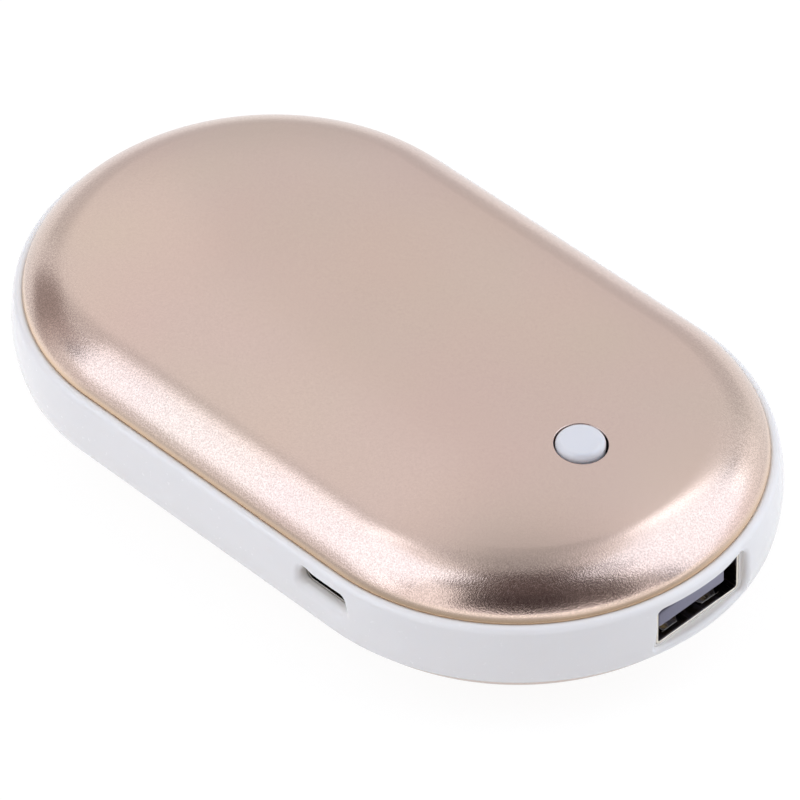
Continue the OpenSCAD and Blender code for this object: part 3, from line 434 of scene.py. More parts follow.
# Outline of a rounded rectangle at a square's rim point (a, b): straight sides stay, and corners are
# drawn in to their circle
def roundedOutline(a, b, halfWidth, halfHeight, corner):
    px, pz = a * halfWidth, b * halfHeight
    qx = np.clip(px, corner - halfWidth, halfWidth - corner)
    qz = np.clip(pz, corner - halfHeight, halfHeight - corner)
    away = np.maximum(np.hypot(px - qx, pz - qz), 1e-9)
    return qx + corner * (px - qx) / away, qz + corner * (pz - qz) / away


# Rim of a window in a section, once round: way and row of each grid point on it
def windowRim(section, columns):
    first, end = columns
    last = len(section) - 1
    wayTo = ringWay[first:end + 1]
    rows = np.arange(last + 1)
    way = np.concatenate([wayTo, np.full(last, wayTo[-1]), wayTo[::-1][1:], np.full(last - 1, wayTo[0])])
    row = np.concatenate([np.zeros(len(wayTo)), rows[1:], np.full(len(wayTo) - 1, last), rows[::-1][1:-1]])
    return way, row


# Place in the window (way and row) of a point given by its width from the recess's middle and its height.
# The outlet's width is along +Y, on the round end. The inlet's is along +X, partly on the straight side.
def windowPlace(section, width, height, recess, atEnd):
    k = np.arange(len(section))
    order = np.argsort(section[:, 1], kind="stable")
    row = np.interp(height, section[order, 1], k[order].astype(float))
    r = np.interp(row, k, section[:, 0])
    if atEnd:
        turn = np.arccos(np.clip(-width / r, -1, 1))
        return wayKnots[1] + turn * body.ringRadius, row
    x = recess.middle + width
    turn = np.arcsin(np.clip((x - body.halfStraight) / r, 0, 1))
    return np.where(x <= body.halfStraight, x, body.halfStraight + turn * body.ringRadius), row


# The outlet's hole and sheet reach further on the left than a centred socket: the shift grows from none at
# the right wall to its full size past the right finger
def leftward(y):
    r = outletRecess
    return y - r.wider * np.clip((r.widerFrom - y) / r.widerOver, 0, 1)


# Share from 0 to 1 with level ends: three squares less two cubes of the clipped value
def smoothShare(value):
    t = np.clip(value, 0, 1)
    return t * t * (3 - 2 * t)


# One recess: a patch of the outside round its mouth, a rolled edge whose radius grows towards the bottom,
# the walls down to the floor, the floor, the hole for the socket, and a patch of the inside round the hole.
# a and b run from -1 to 1 over the width and the height of the window's rim.
def recessGrids(recess, columns, atEnd):
    way, row = windowRim(outside, columns)
    mid = (ringWay[columns[0]] + ringWay[columns[1]]) / 2
    a = (way - mid) / (ringWay[columns[1]] - mid)
    b = np.interp(row, np.arange(len(outside)), outside[:, 1]) / body.jointHeight
    a, b = (np.where(np.abs(v) > 0.9999, np.sign(v), v) for v in (a, b))  # rounding errors go at the corners
    low = smoothShare((recessRows.lowFrom - b) / recessRows.lowOver)
    side = smoothShare((recess.softSide * a - recessRows.sideFrom) / recessRows.sideOver)
    least = recess.edge
    edge = least + np.maximum((recess.lowEdge - least) * low, (recess.sideEdge - least) * side)
    step = 1 if atEnd else -1
    axis = 0 if atEnd else 1

    # the mouth's outline, moved by an offset towards the same outline drawn 1 mm larger all round
    def mouth(offset):
        size = [recess[k] for k in ("halfWidth", "halfHeight", "corner")]
        (w, h), (w2, h2) = (roundedOutline(a, b, *(v + larger for v in size)) for larger in (0, 1))
        w, w2 = (v - recess.wider * np.clip(-a, 0, 1) for v in (w, w2))
        return w + (w2 - w) * offset, h + (h2 - h) * offset + recess.mouthHeight

    rows = []
    way0, row0 = windowPlace(outside, *mouth(edge), recess, atEnd)
    for t in np.linspace(0, 1, recessRows.patch) ** recessRows.patchCrowding:
        rows.append(onSection(outside, way + t * (way0 - way), row + t * (row0 - row)))
    for turn in np.radians(np.linspace(0, 90, recessRows.roll))[1:]:
        rolled = onSection(outside, *windowPlace(outside, *mouth(edge * (1 - math.sin(turn))), recess, atEnd))
        rolled[..., axis] -= step * edge * (1 - math.cos(turn))
        rows.append(rolled)
    rim = rows[-1]
    for t in recessRows.wall:
        wall = rim.copy()
        wall[..., axis] = rim[..., axis] + t * (recess.floor - rim[..., axis])
        rows.append(wall)
    holeSize = [recess[k] for k in ("holeHalfWidth", "holeHalfHeight", "holeCorner")]
    holeW, holeH = roundedOutline(a, b, *holeSize)
    hole = rows[-1].copy()
    if atEnd:
        holeW = leftward(holeW)
        hole[..., 1] = holeW
    else:
        hole[..., 0] = recess.middle + holeW
    hole[..., 2] = holeH + recess.height
    for t in recessRows.floor:
        rows.append(rows[-1] + t * (hole - rows[-1]))
    rows.append(hole)
    # the inside: the same hole where it leaves the wall, and the patch round it
    wayIn, rowIn = windowRim(inside, columns)
    rowIn = len(inside) - 1 - rowIn
    way0, row0 = windowPlace(inside, holeW, holeH + recess.height, recess, atEnd)
    for t in np.linspace(0, 1, recessRows.inside):
        rows.append(onSection(inside, way0 + t * (wayIn - way0), row0 + t * (rowIn - row0)))
    points = np.stack(rows)
    return points, gridFaces(len(points), points.shape[1])


# The ring: its closed section carried round the body, with the two recesses set into their windows
def makeRing():
    points = onSection(ringLoop, ringWay[None, :], np.arange(len(ringLoop), dtype=float)[:, None])

    # true for a quad whose row and column both lie in a window's
    def inWindow(i, j):
        outer, inner = ((i >= first) & (i < end) for first, end in (outsideRows, insideRows))
        atInlet, atOutlet = ((j >= first) & (j < end) for first, end in (inletColumns, outletColumns))
        return (outer | inner) & (atInlet | atOutlet)

    grids = [(points, gridFaces(len(points), len(ringWay), closeRows=True, skip=inWindow)),
             recessGrids(outletRecess, outletColumns, True),
             recessGrids(inletRecess, inletColumns, False)]
    return makePiece("ring_skin", grids, "case", "white_plastic", ["middle_ring"], weld=ring.weld)


# How far a point of the ring lies inside its outside face: the face's distance from the middle line at
# that height, on the bulge or on a rolled edge, less the point's own distance
def ringDepth(places):
    e, b = ring.edgeRadius, ring.bulgeRadius
    edgeX, edgeZ, _ = ringEdge()
    high = np.clip(np.abs(places[:, 2]) - edgeZ, 0, e)
    onBulge = body.ringRadius - b + np.sqrt(b * b - places[:, 2] ** 2)
    faceR = np.where(high > 0, edgeX + np.sqrt(e * e - high * high), onBulge)
    return faceR - fromMiddleLine(places[:, 0], places[:, 1])


# the depth sets the painted shade in the ring's recesses
setDepth(makeRing(), ringDepth)
print("ring made")

# Push button

button = Values(
    x=31.5, y=0.16, radius=2.95, topHeight=12.24, dome=0.06, domeSteps=10,
    edge=0.75, edgeStart=86, edgeSteps=12, edgeFoot=0.1, sideFoot=0.5,
    flangeRadius=4.3, flangeTop=7.401696, flangeHeight=0.9, stemRadius=1.5, stemBottom=5.615,
    columns=96,
)


# The cap's outline turned once round its axis: a slightly domed top, a rolled edge, side, flange and stem
def makeButton():
    b = button
    radius, edge, flangeTop, stem = (b[k] for k in ("radius", "edge", "flangeTop", "stemRadius"))
    domeR = np.linspace(0, radius - edge, b.domeSteps)
    dome = np.column_stack([domeR, b.topHeight - b.dome * (domeR / (radius - edge)) ** 2])
    edgeTop = b.topHeight - b.dome
    roll = arc((radius - edge, edgeTop - edge), edge, b.edgeStart, 0, b.edgeSteps)
    low = flangeTop - b.flangeHeight
    rest = np.array([[radius, edgeTop - edge - b.edgeFoot], [radius, flangeTop + b.sideFoot],
                     [radius, flangeTop], [b.flangeRadius, flangeTop], [b.flangeRadius, low],
                     [stem, low], [stem, b.stemBottom], [0, b.stemBottom]])
    outline = np.concatenate([dome, roll, rest])
    grid = turnedRound(outline, (b.x, b.y), b.columns)
    return makePiece("button_skin", [grid], "button", "button_plastic", ["button_cap"])


makeButton()
print("button made")

# Snap disc

snapDisc = Values(sheet=0.1, steps=14, columns=64)


# The disc under the plunger: a shallow cap of a sphere, closed over the sheet's thickness. Its rim stays on
# the switch's base.
def makeSnapDisc():
    low, high = (np.array(v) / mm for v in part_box("switch_dome"))
    sheet, steps = snapDisc.sheet, snapDisc.steps
    radius, rise = (high[0] - low[0]) / 2, high[2] - low[2]
    bend = (radius ** 2 + rise ** 2) / (2 * rise)
    foot = high[2] - bend
    outerR = np.linspace(0, radius, steps)
    innerR = np.linspace(math.sqrt((bend - sheet) ** 2 - (bend - rise) ** 2), 0, steps)
    outer = np.column_stack([outerR, foot + np.sqrt(bend ** 2 - outerR ** 2)])
    inner = np.column_stack([innerR, foot + np.sqrt((bend - sheet) ** 2 - innerR ** 2)])
    middle = (low + high) / 2
    grid = turnedRound(np.concatenate([outer, inner]), middle, snapDisc.columns)
    piece = makePiece("dome_skin", [grid], None, "plated_steel", ["switch_dome"], lift=False)
    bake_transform(piece)
    return piece


makeSnapDisc()
print("snap disc made")

# Sockets

outlet = Values(
    front=50.7, back=36.7, halfWidth=6.55, halfHeight=2.85, corner=0.65, sheet=0.3,
    mouthStep=0.12, cutEdge=0.03, slotFront=49.85, slotBack=42.7, slotHalf=1.6,
    fingerY=3.1, fingerHalf=1.4, tipHalf=1.03, fingerTip=49.62, fingerRoot=0.15,
    fingerLift=0.15, fingerTaper=0.6, fingerCurve=1.3, fingerSheet=0.16, fingerShade=0.19,
    lowBump=0.7, highBump=0.45, fingerRows=40, fingerColumns=7,
)
inlet = Values(
    x=20.3, height=1.8, front=-29.5, back=-24.2, halfWidth=3.75, halfHeight=1.225,
    chamfer=0.7, topCut=0.25, lowCut=0.35, cutSteps=5, mouthStep=0.1, bodyStep=2.5,
    sheet=0.25, cutEdge=0.05, shade=0.18,
)
tongue = Values(
    front=50.25, back=41.3, halfWidth=4.7, halfHeight=1.05, corner=0.3, height=0.1,
    edge=0.22, leftReach=1.4, overlap=0.5,
    baseBack=37.1, baseHalfWidth=6.15, baseHalfHeight=2.45, baseCorner=0.25, baseEdge=0.1,
)


# Loop of a rounded rectangle in width and height, with evenly spread points on each side and corner
def rectangleLoop(halfWidth, halfHeight, corner, side, turn):
    w, h = halfWidth - corner, halfHeight - corner
    corners = [arc((cx, cz), corner, start, start - 90, turn)
               for cx, cz, start in ((w, h, 90), (w, -h, 0), (-w, -h, -90), (-w, h, -180))]
    closed = []
    for k, part in enumerate(corners):
        closed.append(part)
        closed.append(line(part[-1], corners[(k + 1) % 4][0], side)[1:-1])
    return np.concatenate(closed)


# Loop of a polygon whose corners are cut back by their own length and joined by a parabola
def roundedPolygon(corners, steps):
    xy = np.array([c[:2] for c in corners])
    cut = np.array([c[2] for c in corners])
    before, after = np.roll(xy, 1, axis=0), np.roll(xy, -1, axis=0)
    toBefore = (before - xy) / np.hypot(*(before - xy).T)[:, None]
    toAfter = (after - xy) / np.hypot(*(after - xy).T)[:, None]
    start, end = xy + toBefore * cut[:, None], xy + toAfter * cut[:, None]
    t = np.linspace(0, 1, steps)[None, :, None]
    curve = (1 - t) ** 2 * start[:, None] + 2 * t * (1 - t) * xy[:, None] + t ** 2 * end[:, None]
    return curve.reshape(-1, 2)


# The folded sheet of the outlet: its outline carried along X, with the four finger slots left out. The
# outline has a point on both edges of each slot.
def makeOutletShell():
    o = outlet
    loop = rectangleLoop(o.halfWidth, o.halfHeight, o.corner, side=2, turn=6)
    for y in (-o.fingerY, o.fingerY):
        for edge in (-o.slotHalf, o.slotHalf):
            loop = np.concatenate([loop, [[y + edge, o.halfHeight], [y + edge, -o.halfHeight]]])
    angle = np.arctan2(loop[:, 1] / o.halfHeight, loop[:, 0] / o.halfWidth)
    loop = loop[np.argsort(-angle)]
    front, slotFront, slotBack = o.front, o.slotFront, o.slotBack
    x = np.array([front, front - o.mouthStep, slotFront, (slotFront + slotBack) / 2, slotBack, o.back])
    points = gridPoints(x[:, None], leftward(loop[:, 0]), loop[:, 1])
    middle = (loop + np.roll(loop, -1, axis=0)) / 2
    onFlat = np.abs(np.abs(middle[:, 1]) - o.halfHeight) < 1e-6
    inSlot = onFlat & (np.abs(np.abs(middle[:, 0]) - o.fingerY) < o.slotHalf)
    faces = gridFaces(len(x), len(loop), skip=lambda i, j: (i >= 2) & (i < 4) & inSlot[j])
    piece = makePiece("outlet_shell_skin", [(points, faces)], "case", "socket_steel", ["usb_a_shell"])
    finishSheet(piece, o.sheet, -1, o.cutEdge)
    return piece


# A spring finger: a strip whose height follows a smooth curve along X, up from the slot's back end,
# over a rounded bump and down again behind the mouth, and which narrows to its tip
def fingerStrip(y, side, bump):
    o = outlet
    x = np.linspace(o.slotBack - o.fingerRoot, o.fingerTip, o.fingerRows)
    t = (x - x[0]) / (x[-1] - x[0])
    rise = bump * np.sin(np.pi * np.clip(t, 0, 1)) ** o.fingerCurve
    z = side * (o.halfHeight - o.sheet / 2 - rise + o.fingerLift * t)
    across = np.linspace(-1, 1, o.fingerColumns)
    half = o.tipHalf + (o.fingerHalf - o.tipHalf) * np.clip((x[-1] - x) / o.fingerTaper, 0, 1)
    points = gridPoints(x[:, None], leftward(y + across[None, :] * half[:, None]), z[:, None])
    return points, openFaces(*points.shape[:2])


# The outlet's four fingers in one piece: two below with a high bump, and two above with a lower one
def makeFingers():
    grids = [fingerStrip(y, side, bump) for y in (-outlet.fingerY, outlet.fingerY)
             for side, bump in ((-1, outlet.lowBump), (1, outlet.highBump))]
    piece = makePiece("outlet_fingers", grids, "case", "socket_steel", [])
    finishSheet(piece, outlet.fingerSheet, 0, outlet.cutEdge)
    return piece


# A block along X: a rounded outline carried from back to front, drawn in at the front by a quarter circle
# and closed by a pole at both ends
def roundedBlock(loop, back, front, edge, height, steps=5):
    turn = np.radians(np.linspace(0, 90, steps))
    at = np.concatenate([[back, back], [front - edge], front - edge + edge * np.sin(turn[1:]), [front]])
    shrink = np.concatenate([[0.0, 0.0, 0.0], edge * (1 - np.cos(turn[1:])), [0.0]])
    size = np.abs(loop).max(0)
    scale = (size - shrink[:, None]) / size
    scale[[0, -1]] = 0
    points = gridPoints(at[:, None], loop[:, 0] * scale[:, :1], loop[:, 1] * scale[:, 1:] + height)
    return points, gridFaces(len(points), len(loop))


# The outlet's insulator: a slab in front, whose left half is stretched, and a base block behind it
def makeTongue():
    t = tongue
    slabLoop = rectangleLoop(t.halfWidth, t.halfHeight, t.corner, side=6, turn=5)
    slab = roundedBlock(slabLoop, t.back - t.overlap, t.front, t.edge, t.height)
    baseLoop = rectangleLoop(t.baseHalfWidth, t.baseHalfHeight, t.baseCorner, side=6, turn=4)
    base = roundedBlock(baseLoop, t.baseBack, t.back, t.baseEdge, 0)
    slab[0][..., 1] -= t.leftReach * np.clip(-slab[0][..., 1] / t.halfWidth, 0, 1)
    return makePiece("outlet_tongue_skin", [slab, base], "case", "tongue_plastic", ["usb_a_tongue"])


# The folded sheet of the inlet: a flat-topped outline with cut lower corners, carried along Y
def makeInletShell():
    n = inlet
    w, h, c, top, low = n.halfWidth, n.halfHeight, n.chamfer, n.topCut, n.lowCut
    corners = [(w, h, top), (w, c - h, low), (w - c, -h, low), (c - w, -h, low), (-w, c - h, low),
               (-w, h, top)]
    loop = roundedPolygon(corners, n.cutSteps)
    y = np.array([n.front, n.front + n.mouthStep, n.front + n.bodyStep, n.back])
    points = gridPoints(n.x + loop[:, 0], y[:, None], n.height + loop[:, 1])
    faces = gridFaces(len(y), len(loop))
    piece = makePiece("inlet_shell_skin", [(points, faces)], "case", "socket_steel", ["micro_usb_shell"])
    finishSheet(piece, n.sheet, -1, n.cutEdge)
    return piece


# The sheets get a painted shade that darkens with their depth behind the mouth, and the fingers one even
# painted shade
setDepth(makeOutletShell(), lambda places: outlet.front - places[:, 0])
setDepth(makeFingers(), lambda places: 0 * places[:, 0] + outlet.fingerShade)
makeTongue()
setDepth(makeInletShell(), lambda places: places[:, 1] - inlet.front + inlet.shade)
print("sockets made")

# Materials


# Feeds a socket: an output is linked to it, and a number or a colour is set on it
def feed(tree, socket, value):
    if isinstance(value, bpy.types.NodeSocket):
        tree.links.new(value, socket)
    else:
        socket.default_value = (*value, 1) if socket.type == "RGBA" else value


# New node of a kind, with its settings, and with its inputs fed by name or number
def addNode(tree, kind, inputs, **settings):
    node = tree.nodes.new("ShaderNode" + kind)
    for name, value in settings.items():
        setattr(node, name, value)
    for name, value in inputs.items():
        feed(tree, node.inputs[name], value)
    return node


# New material with an empty graph and a Principled shader
def newMaterial(name):
    material = bpy.data.materials.new(name)
    material.use_nodes = True
    tree = material.node_tree
    tree.nodes.clear()
    shader = addNode(tree, "BsdfPrincipled", {})
    addNode(tree, "OutputMaterial", {"Surface": shader.outputs["BSDF"]})
    return material, tree, shader


# Object coordinates, which are in metres
def addPlace(tree):
    return addNode(tree, "TexCoord", {}).outputs["Object"]


# Noise of a grain size in millimetres, on Object coordinates or on others that are given
def addNoise(tree, grain, detail=2.0, roughness=0.5, place=None):
    place = addPlace(tree) if place is None else place
    inputs = {"Scale": 1000 / grain, "Detail": detail, "Roughness": roughness, "Vector": place}
    return addNode(tree, "TexNoise", inputs).outputs


# Range of a value: from low to high of the input, to low and high of the output
def addRange(tree, source, fromLow, fromHigh, toLow=0, toHigh=1):
    return addNode(tree, "MapRange", {"Value": source, "From Min": fromLow, "From Max": fromHigh,
                                      "To Min": toLow, "To Max": toHigh}).outputs["Result"]


# Colour mixed from two, each an output or a fixed colour, by a share from 0 to 1
def addMix(tree, share, first, second, blend="MIX"):
    inputs = {"Factor": share, 6: first, 7: second}  # 6 and 7 are the colours among the node's inputs
    return addNode(tree, "Mix", inputs, data_type="RGBA", blend_type=blend).outputs[2]


# Result of an operation, such as a product, on one or two values
def addMath(tree, operation, first, second=0.0, clamp=False):
    return addNode(tree, "Math", {0: first, 1: second}, operation=operation, use_clamp=clamp).outputs[0]


# Share from 0 to 1 of a piece's depth attribute between two depths in millimetres
def addDepthShare(tree, shallow, deep):
    depth = addNode(tree, "Attribute", {}, attribute_name="depth").outputs["Fac"]
    return addRange(tree, depth, shallow, deep)


# Normal of a surface whose height follows a value, over a depth in millimetres
def addBump(tree, height, strength, depth):
    inputs = {"Strength": strength, "Distance": depth * mm, "Height": height}
    return addNode(tree, "Bump", inputs).outputs["Normal"]


# Feeds several sockets of the shader at once
def setShader(tree, shader, values):
    for name, value in values.items():
        feed(tree, shader.inputs[name], value)


usualRange = (0.3, 0.7)  # most of a noise's values lie between these
blasted = Values(
    dark=(0.62, 0.475, 0.42), light=(0.64, 0.495, 0.435), speck=0.3, speckRange=(0.3, 0.72),
    # the next two colours are painted sparkle: dark and light specks standing in for the glints of the
    # blasted grains
    pit=(0.545, 0.42, 0.375), glint=(0.715, 0.56, 0.50), grain=0.19, grainRange=(0.36, 0.64),
    turned=(0.992, 0.86), calm=0.3, cloud=30, cloudShare=0.10,
    # the lip colour is a painted reflection of the white ring and floor, and the seam colour is painted warm
    # light bouncing in the joint
    lip=(0.90, 0.705, 0.57), lipReflectionRange=(5.6, 4.75), seam=(0.68, 0.48, 0.31),
    paintedBounceRange=(5.15, 4.45), roughness=(0.25, 0.19), bump=1.0, bumpDepth=0.013,
    coat=0.12, coatRoughness=0.2,
)
plasticLook = Values(
    cloud=14, gloss=(0.85, 1.15), insideDepths=(0.1, 1.1), scatter=(1.0, 0.85, 0.75),
    scatterDepth=1.4, coatRoughness=0.12,
)
platingLook = Values(stain=3.0, gloss=(0.8, 1.3), insideDepths=(0.08, 0.3), bump=0.15, bumpDepth=0.01)


# Bead-blasted and anodised metal: fine pits in the height, and painted sparkle in the colour, small light and
# dark specks that paint the glints of the blasted grains and only show where the face turns down to the
# joint.
# The lip above the joint is painted paler as a reflection of the ring and floor, and the seam at its foot a
# warm tan that paints light bouncing in the joint.
def blastedMetal():
    b = blasted
    material, tree, shader = newMaterial("blasted_gold_metal")
    fine = addNoise(tree, b.grain, 1.0)["Fac"]
    speck = addNoise(tree, b.speck, 2.0, 0.6)["Fac"]
    plain = addMix(tree, addRange(tree, speck, *b.speckRange), b.dark, b.light)
    # painted sparkle: glints and dark specks in the colour, which the share below shows only where the face
    # turns
    grain = addMix(tree, addRange(tree, fine, *b.grainRange), b.pit, b.glint)
    normal = addNode(tree, "NewGeometry", {}).outputs["Normal"]
    upward = addMath(tree, "ABSOLUTE", addNode(tree, "SeparateXYZ", {"Vector": normal}).outputs["Z"])
    turned = addRange(tree, upward, *b.turned)
    cloud = addNoise(tree, b.cloud)["Color"]
    cloudy = addMix(tree, b.cloudShare, addMix(tree, turned, plain, grain), cloud, "MULTIPLY")
    height = addNode(tree, "SeparateXYZ", {"Vector": addPlace(tree)}).outputs["Z"]
    above = addMath(tree, "ABSOLUTE", addMath(tree, "SUBTRACT", height, body.midHeight * mm))
    # heights of the painted reflection on the lip and of the painted bounce light at the seam
    lip, seam = (addRange(tree, above, *(v * mm for v in b[k])) for k in ("lipReflectionRange", "paintedBounceRange"))
    # the pits are shallow on the flat top, and fade out on the lip
    pitted = addMath(tree, "SUBTRACT", addRange(tree, turned, 0, 1, b.calm, 1), lip, clamp=True)
    pits = addMath(tree, "MULTIPLY", fine, pitted)
    setShader(tree, shader, {
        "Base Color": addMix(tree, seam, addMix(tree, lip, cloudy, b.lip), b.seam),
        "Roughness": addRange(tree, speck, *usualRange, *b.roughness),
        "Metallic": 1.0,
        "Coat Weight": b.coat,
        "Coat Roughness": b.coatRoughness,
        "Normal": addBump(tree, pits, b.bump, b.bumpDepth),
    })
    return material


# Moulded plastic: even colour with a faint cloud, a fine skin texture and a soft gloss. Where inside is
# given, the colour darkens to it as painted shade with the depth behind the outside face
def moulded(name, first, second, roughness, bump=0.06, grain=0.5, subsurface=0.0, coat=0.0, bumpDepth=0.01,
            inside=None):
    look = plasticLook
    material, tree, shader = newMaterial(name)
    skin = addNoise(tree, grain, 3.0, 0.6)["Fac"]
    cloud = addNoise(tree, look.cloud, 3.0)["Fac"]
    colour = addMix(tree, addRange(tree, cloud, *usualRange), first, second)
    if inside:
        # painted shade, deeper behind the outside face
        colour = addMix(tree, addDepthShare(tree, *look.insideDepths), colour, inside)
    setShader(tree, shader, {
        "Base Color": colour,
        "Roughness": addRange(tree, skin, *usualRange, *(roughness * v for v in look.gloss)),
        "Normal": addBump(tree, skin, bump, bumpDepth),
    })
    if subsurface:
        setShader(tree, shader, {"Subsurface Weight": subsurface, "Subsurface Radius": look.scatter,
                                 "Subsurface Scale": look.scatterDepth * mm})
    if coat:
        setShader(tree, shader, {"Coat Weight": coat, "Coat Roughness": look.coatRoughness})
    return material


# Plated sheet or wire: metal with fine drawn lines along one axis and a slight stain. Where inside is given,
# the colour darkens to it as painted shade with the depth attribute
def plated(name, first, second, roughness, grain=0.25, stretch=(0.15, 1, 1), inside=None):
    look = platingLook
    material, tree, shader = newMaterial(name)
    stretched = addNode(tree, "Mapping", {"Vector": addPlace(tree), "Scale": stretch}).outputs["Vector"]
    lines = addNoise(tree, grain, 3.0, 0.6, stretched)["Fac"]
    stain = addNoise(tree, look.stain, 3.0)["Fac"]
    colour = addMix(tree, addRange(tree, stain, *usualRange), first, second)
    if inside:
        # painted shade, deeper behind the mouth
        colour = addMix(tree, addDepthShare(tree, *look.insideDepths), colour, inside)
    setShader(tree, shader, {
        "Base Color": colour,
        "Roughness": addRange(tree, lines, *usualRange, *(roughness * v for v in look.gloss)),
        "Metallic": 1.0,
        "Normal": addBump(tree, lines, look.bump, look.bumpDepth),
    })
    return material


materials = {
    "gold_aluminium": blastedMetal(),
    # the ring's recesses darken to this painted warm shade by their depth behind the outside
    "white_plastic": moulded("ring_white_plastic", (0.90, 0.865, 0.868), (0.92, 0.885, 0.888), 0.24, 0.05,
                             0.6, subsurface=0.15, coat=0.25, bumpDepth=0.001, inside=(0.89, 0.84, 0.80)),
    "button_plastic": moulded("button_white_plastic", (0.74, 0.73, 0.775), (0.77, 0.76, 0.805), 0.2, 0.05,
                              0.5, subsurface=0.3, coat=0.5, bumpDepth=0.001),
    "dark_plastic": moulded("dark_inner_plastic", (0.02, 0.02, 0.022), (0.03, 0.03, 0.032), 0.5, 0.2, 0.4),
    "black_plastic": moulded("black_plastic", (0.012, 0.012, 0.014), (0.02, 0.02, 0.022), 0.42, 0.15, 0.3),
    # the sockets' sheets darken to this painted shade behind the mouth
    "socket_steel": plated("socket_steel", (0.90, 0.84, 0.76), (0.97, 0.92, 0.84), 0.22,
                           inside=(0.17, 0.15, 0.14)),
    "tongue_plastic": moulded("tongue_plastic", (0.19, 0.18, 0.25), (0.27, 0.26, 0.34), 0.45, 0.4, 0.3),
    "contact_metal": plated("contact_gold", (0.70, 0.52, 0.22), (0.80, 0.62, 0.30), 0.25),
    "plated_steel": plated("nickel_plate", (0.60, 0.60, 0.60), (0.70, 0.70, 0.69), 0.32),
    "board_laminate": moulded("green_laminate", (0.01, 0.09, 0.035), (0.015, 0.12, 0.05), 0.35, 0.25, 0.8,
                              coat=0.4),
    "chip_plastic": moulded("chip_package", (0.012, 0.012, 0.013), (0.022, 0.022, 0.024), 0.55, 0.35, 0.15),
    "ferrite": moulded("ferrite", (0.03, 0.03, 0.034), (0.05, 0.05, 0.054), 0.7, 0.5, 0.2),
    "copper_wire": plated("copper_winding", (0.48, 0.16, 0.06), (0.62, 0.24, 0.10), 0.32, 0.3, (1, 1, 0.05)),
    "ceramic": moulded("ceramic_chips", (0.34, 0.22, 0.11), (0.42, 0.28, 0.15), 0.5, 0.2, 0.3),
    "lamp_plastic": moulded("lamp_lens", (0.86, 0.82, 0.62), (0.90, 0.87, 0.70), 0.15, 0.05, 0.4,
                            subsurface=0.2, coat=0.5),
    "cell_pouch": plated("foil_pouch", (0.60, 0.61, 0.63), (0.68, 0.69, 0.71), 0.38, 1.2, (1, 1, 1)),
    "pad_foam": moulded("pad_foam", (0.72, 0.70, 0.64), (0.80, 0.78, 0.73), 0.9, 0.9, 0.5),
    "film": moulded("amber_film", (0.45, 0.16, 0.02), (0.58, 0.24, 0.04), 0.3, 0.2, 1.2, coat=0.5),
    "red_lead": moulded("red_insulation", (0.42, 0.02, 0.012), (0.52, 0.03, 0.02), 0.4, 0.15, 0.5),
    "white_lead": moulded("white_insulation", (0.70, 0.68, 0.60), (0.78, 0.76, 0.70), 0.45, 0.15, 0.5),
    "fuse_ceramic": moulded("fuse_ceramic", (0.66, 0.64, 0.58), (0.74, 0.72, 0.67), 0.6, 0.3, 0.3),
}


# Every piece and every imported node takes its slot's material
def dressAll():
    slotOf = {p["node"]: p["material_slot"] for p in frame["record"]["subparts"]}
    dressed = [(item, slotOf[name]) for name, item in frame["nodes"].items()]
    dressed += [(piece, piece["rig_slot"]) for piece in pieces]
    for item, slotName in dressed:
        item.data.materials.clear()
        item.data.materials.append(materials[slotName])


dressAll()
print("materials made")

# Floor and light

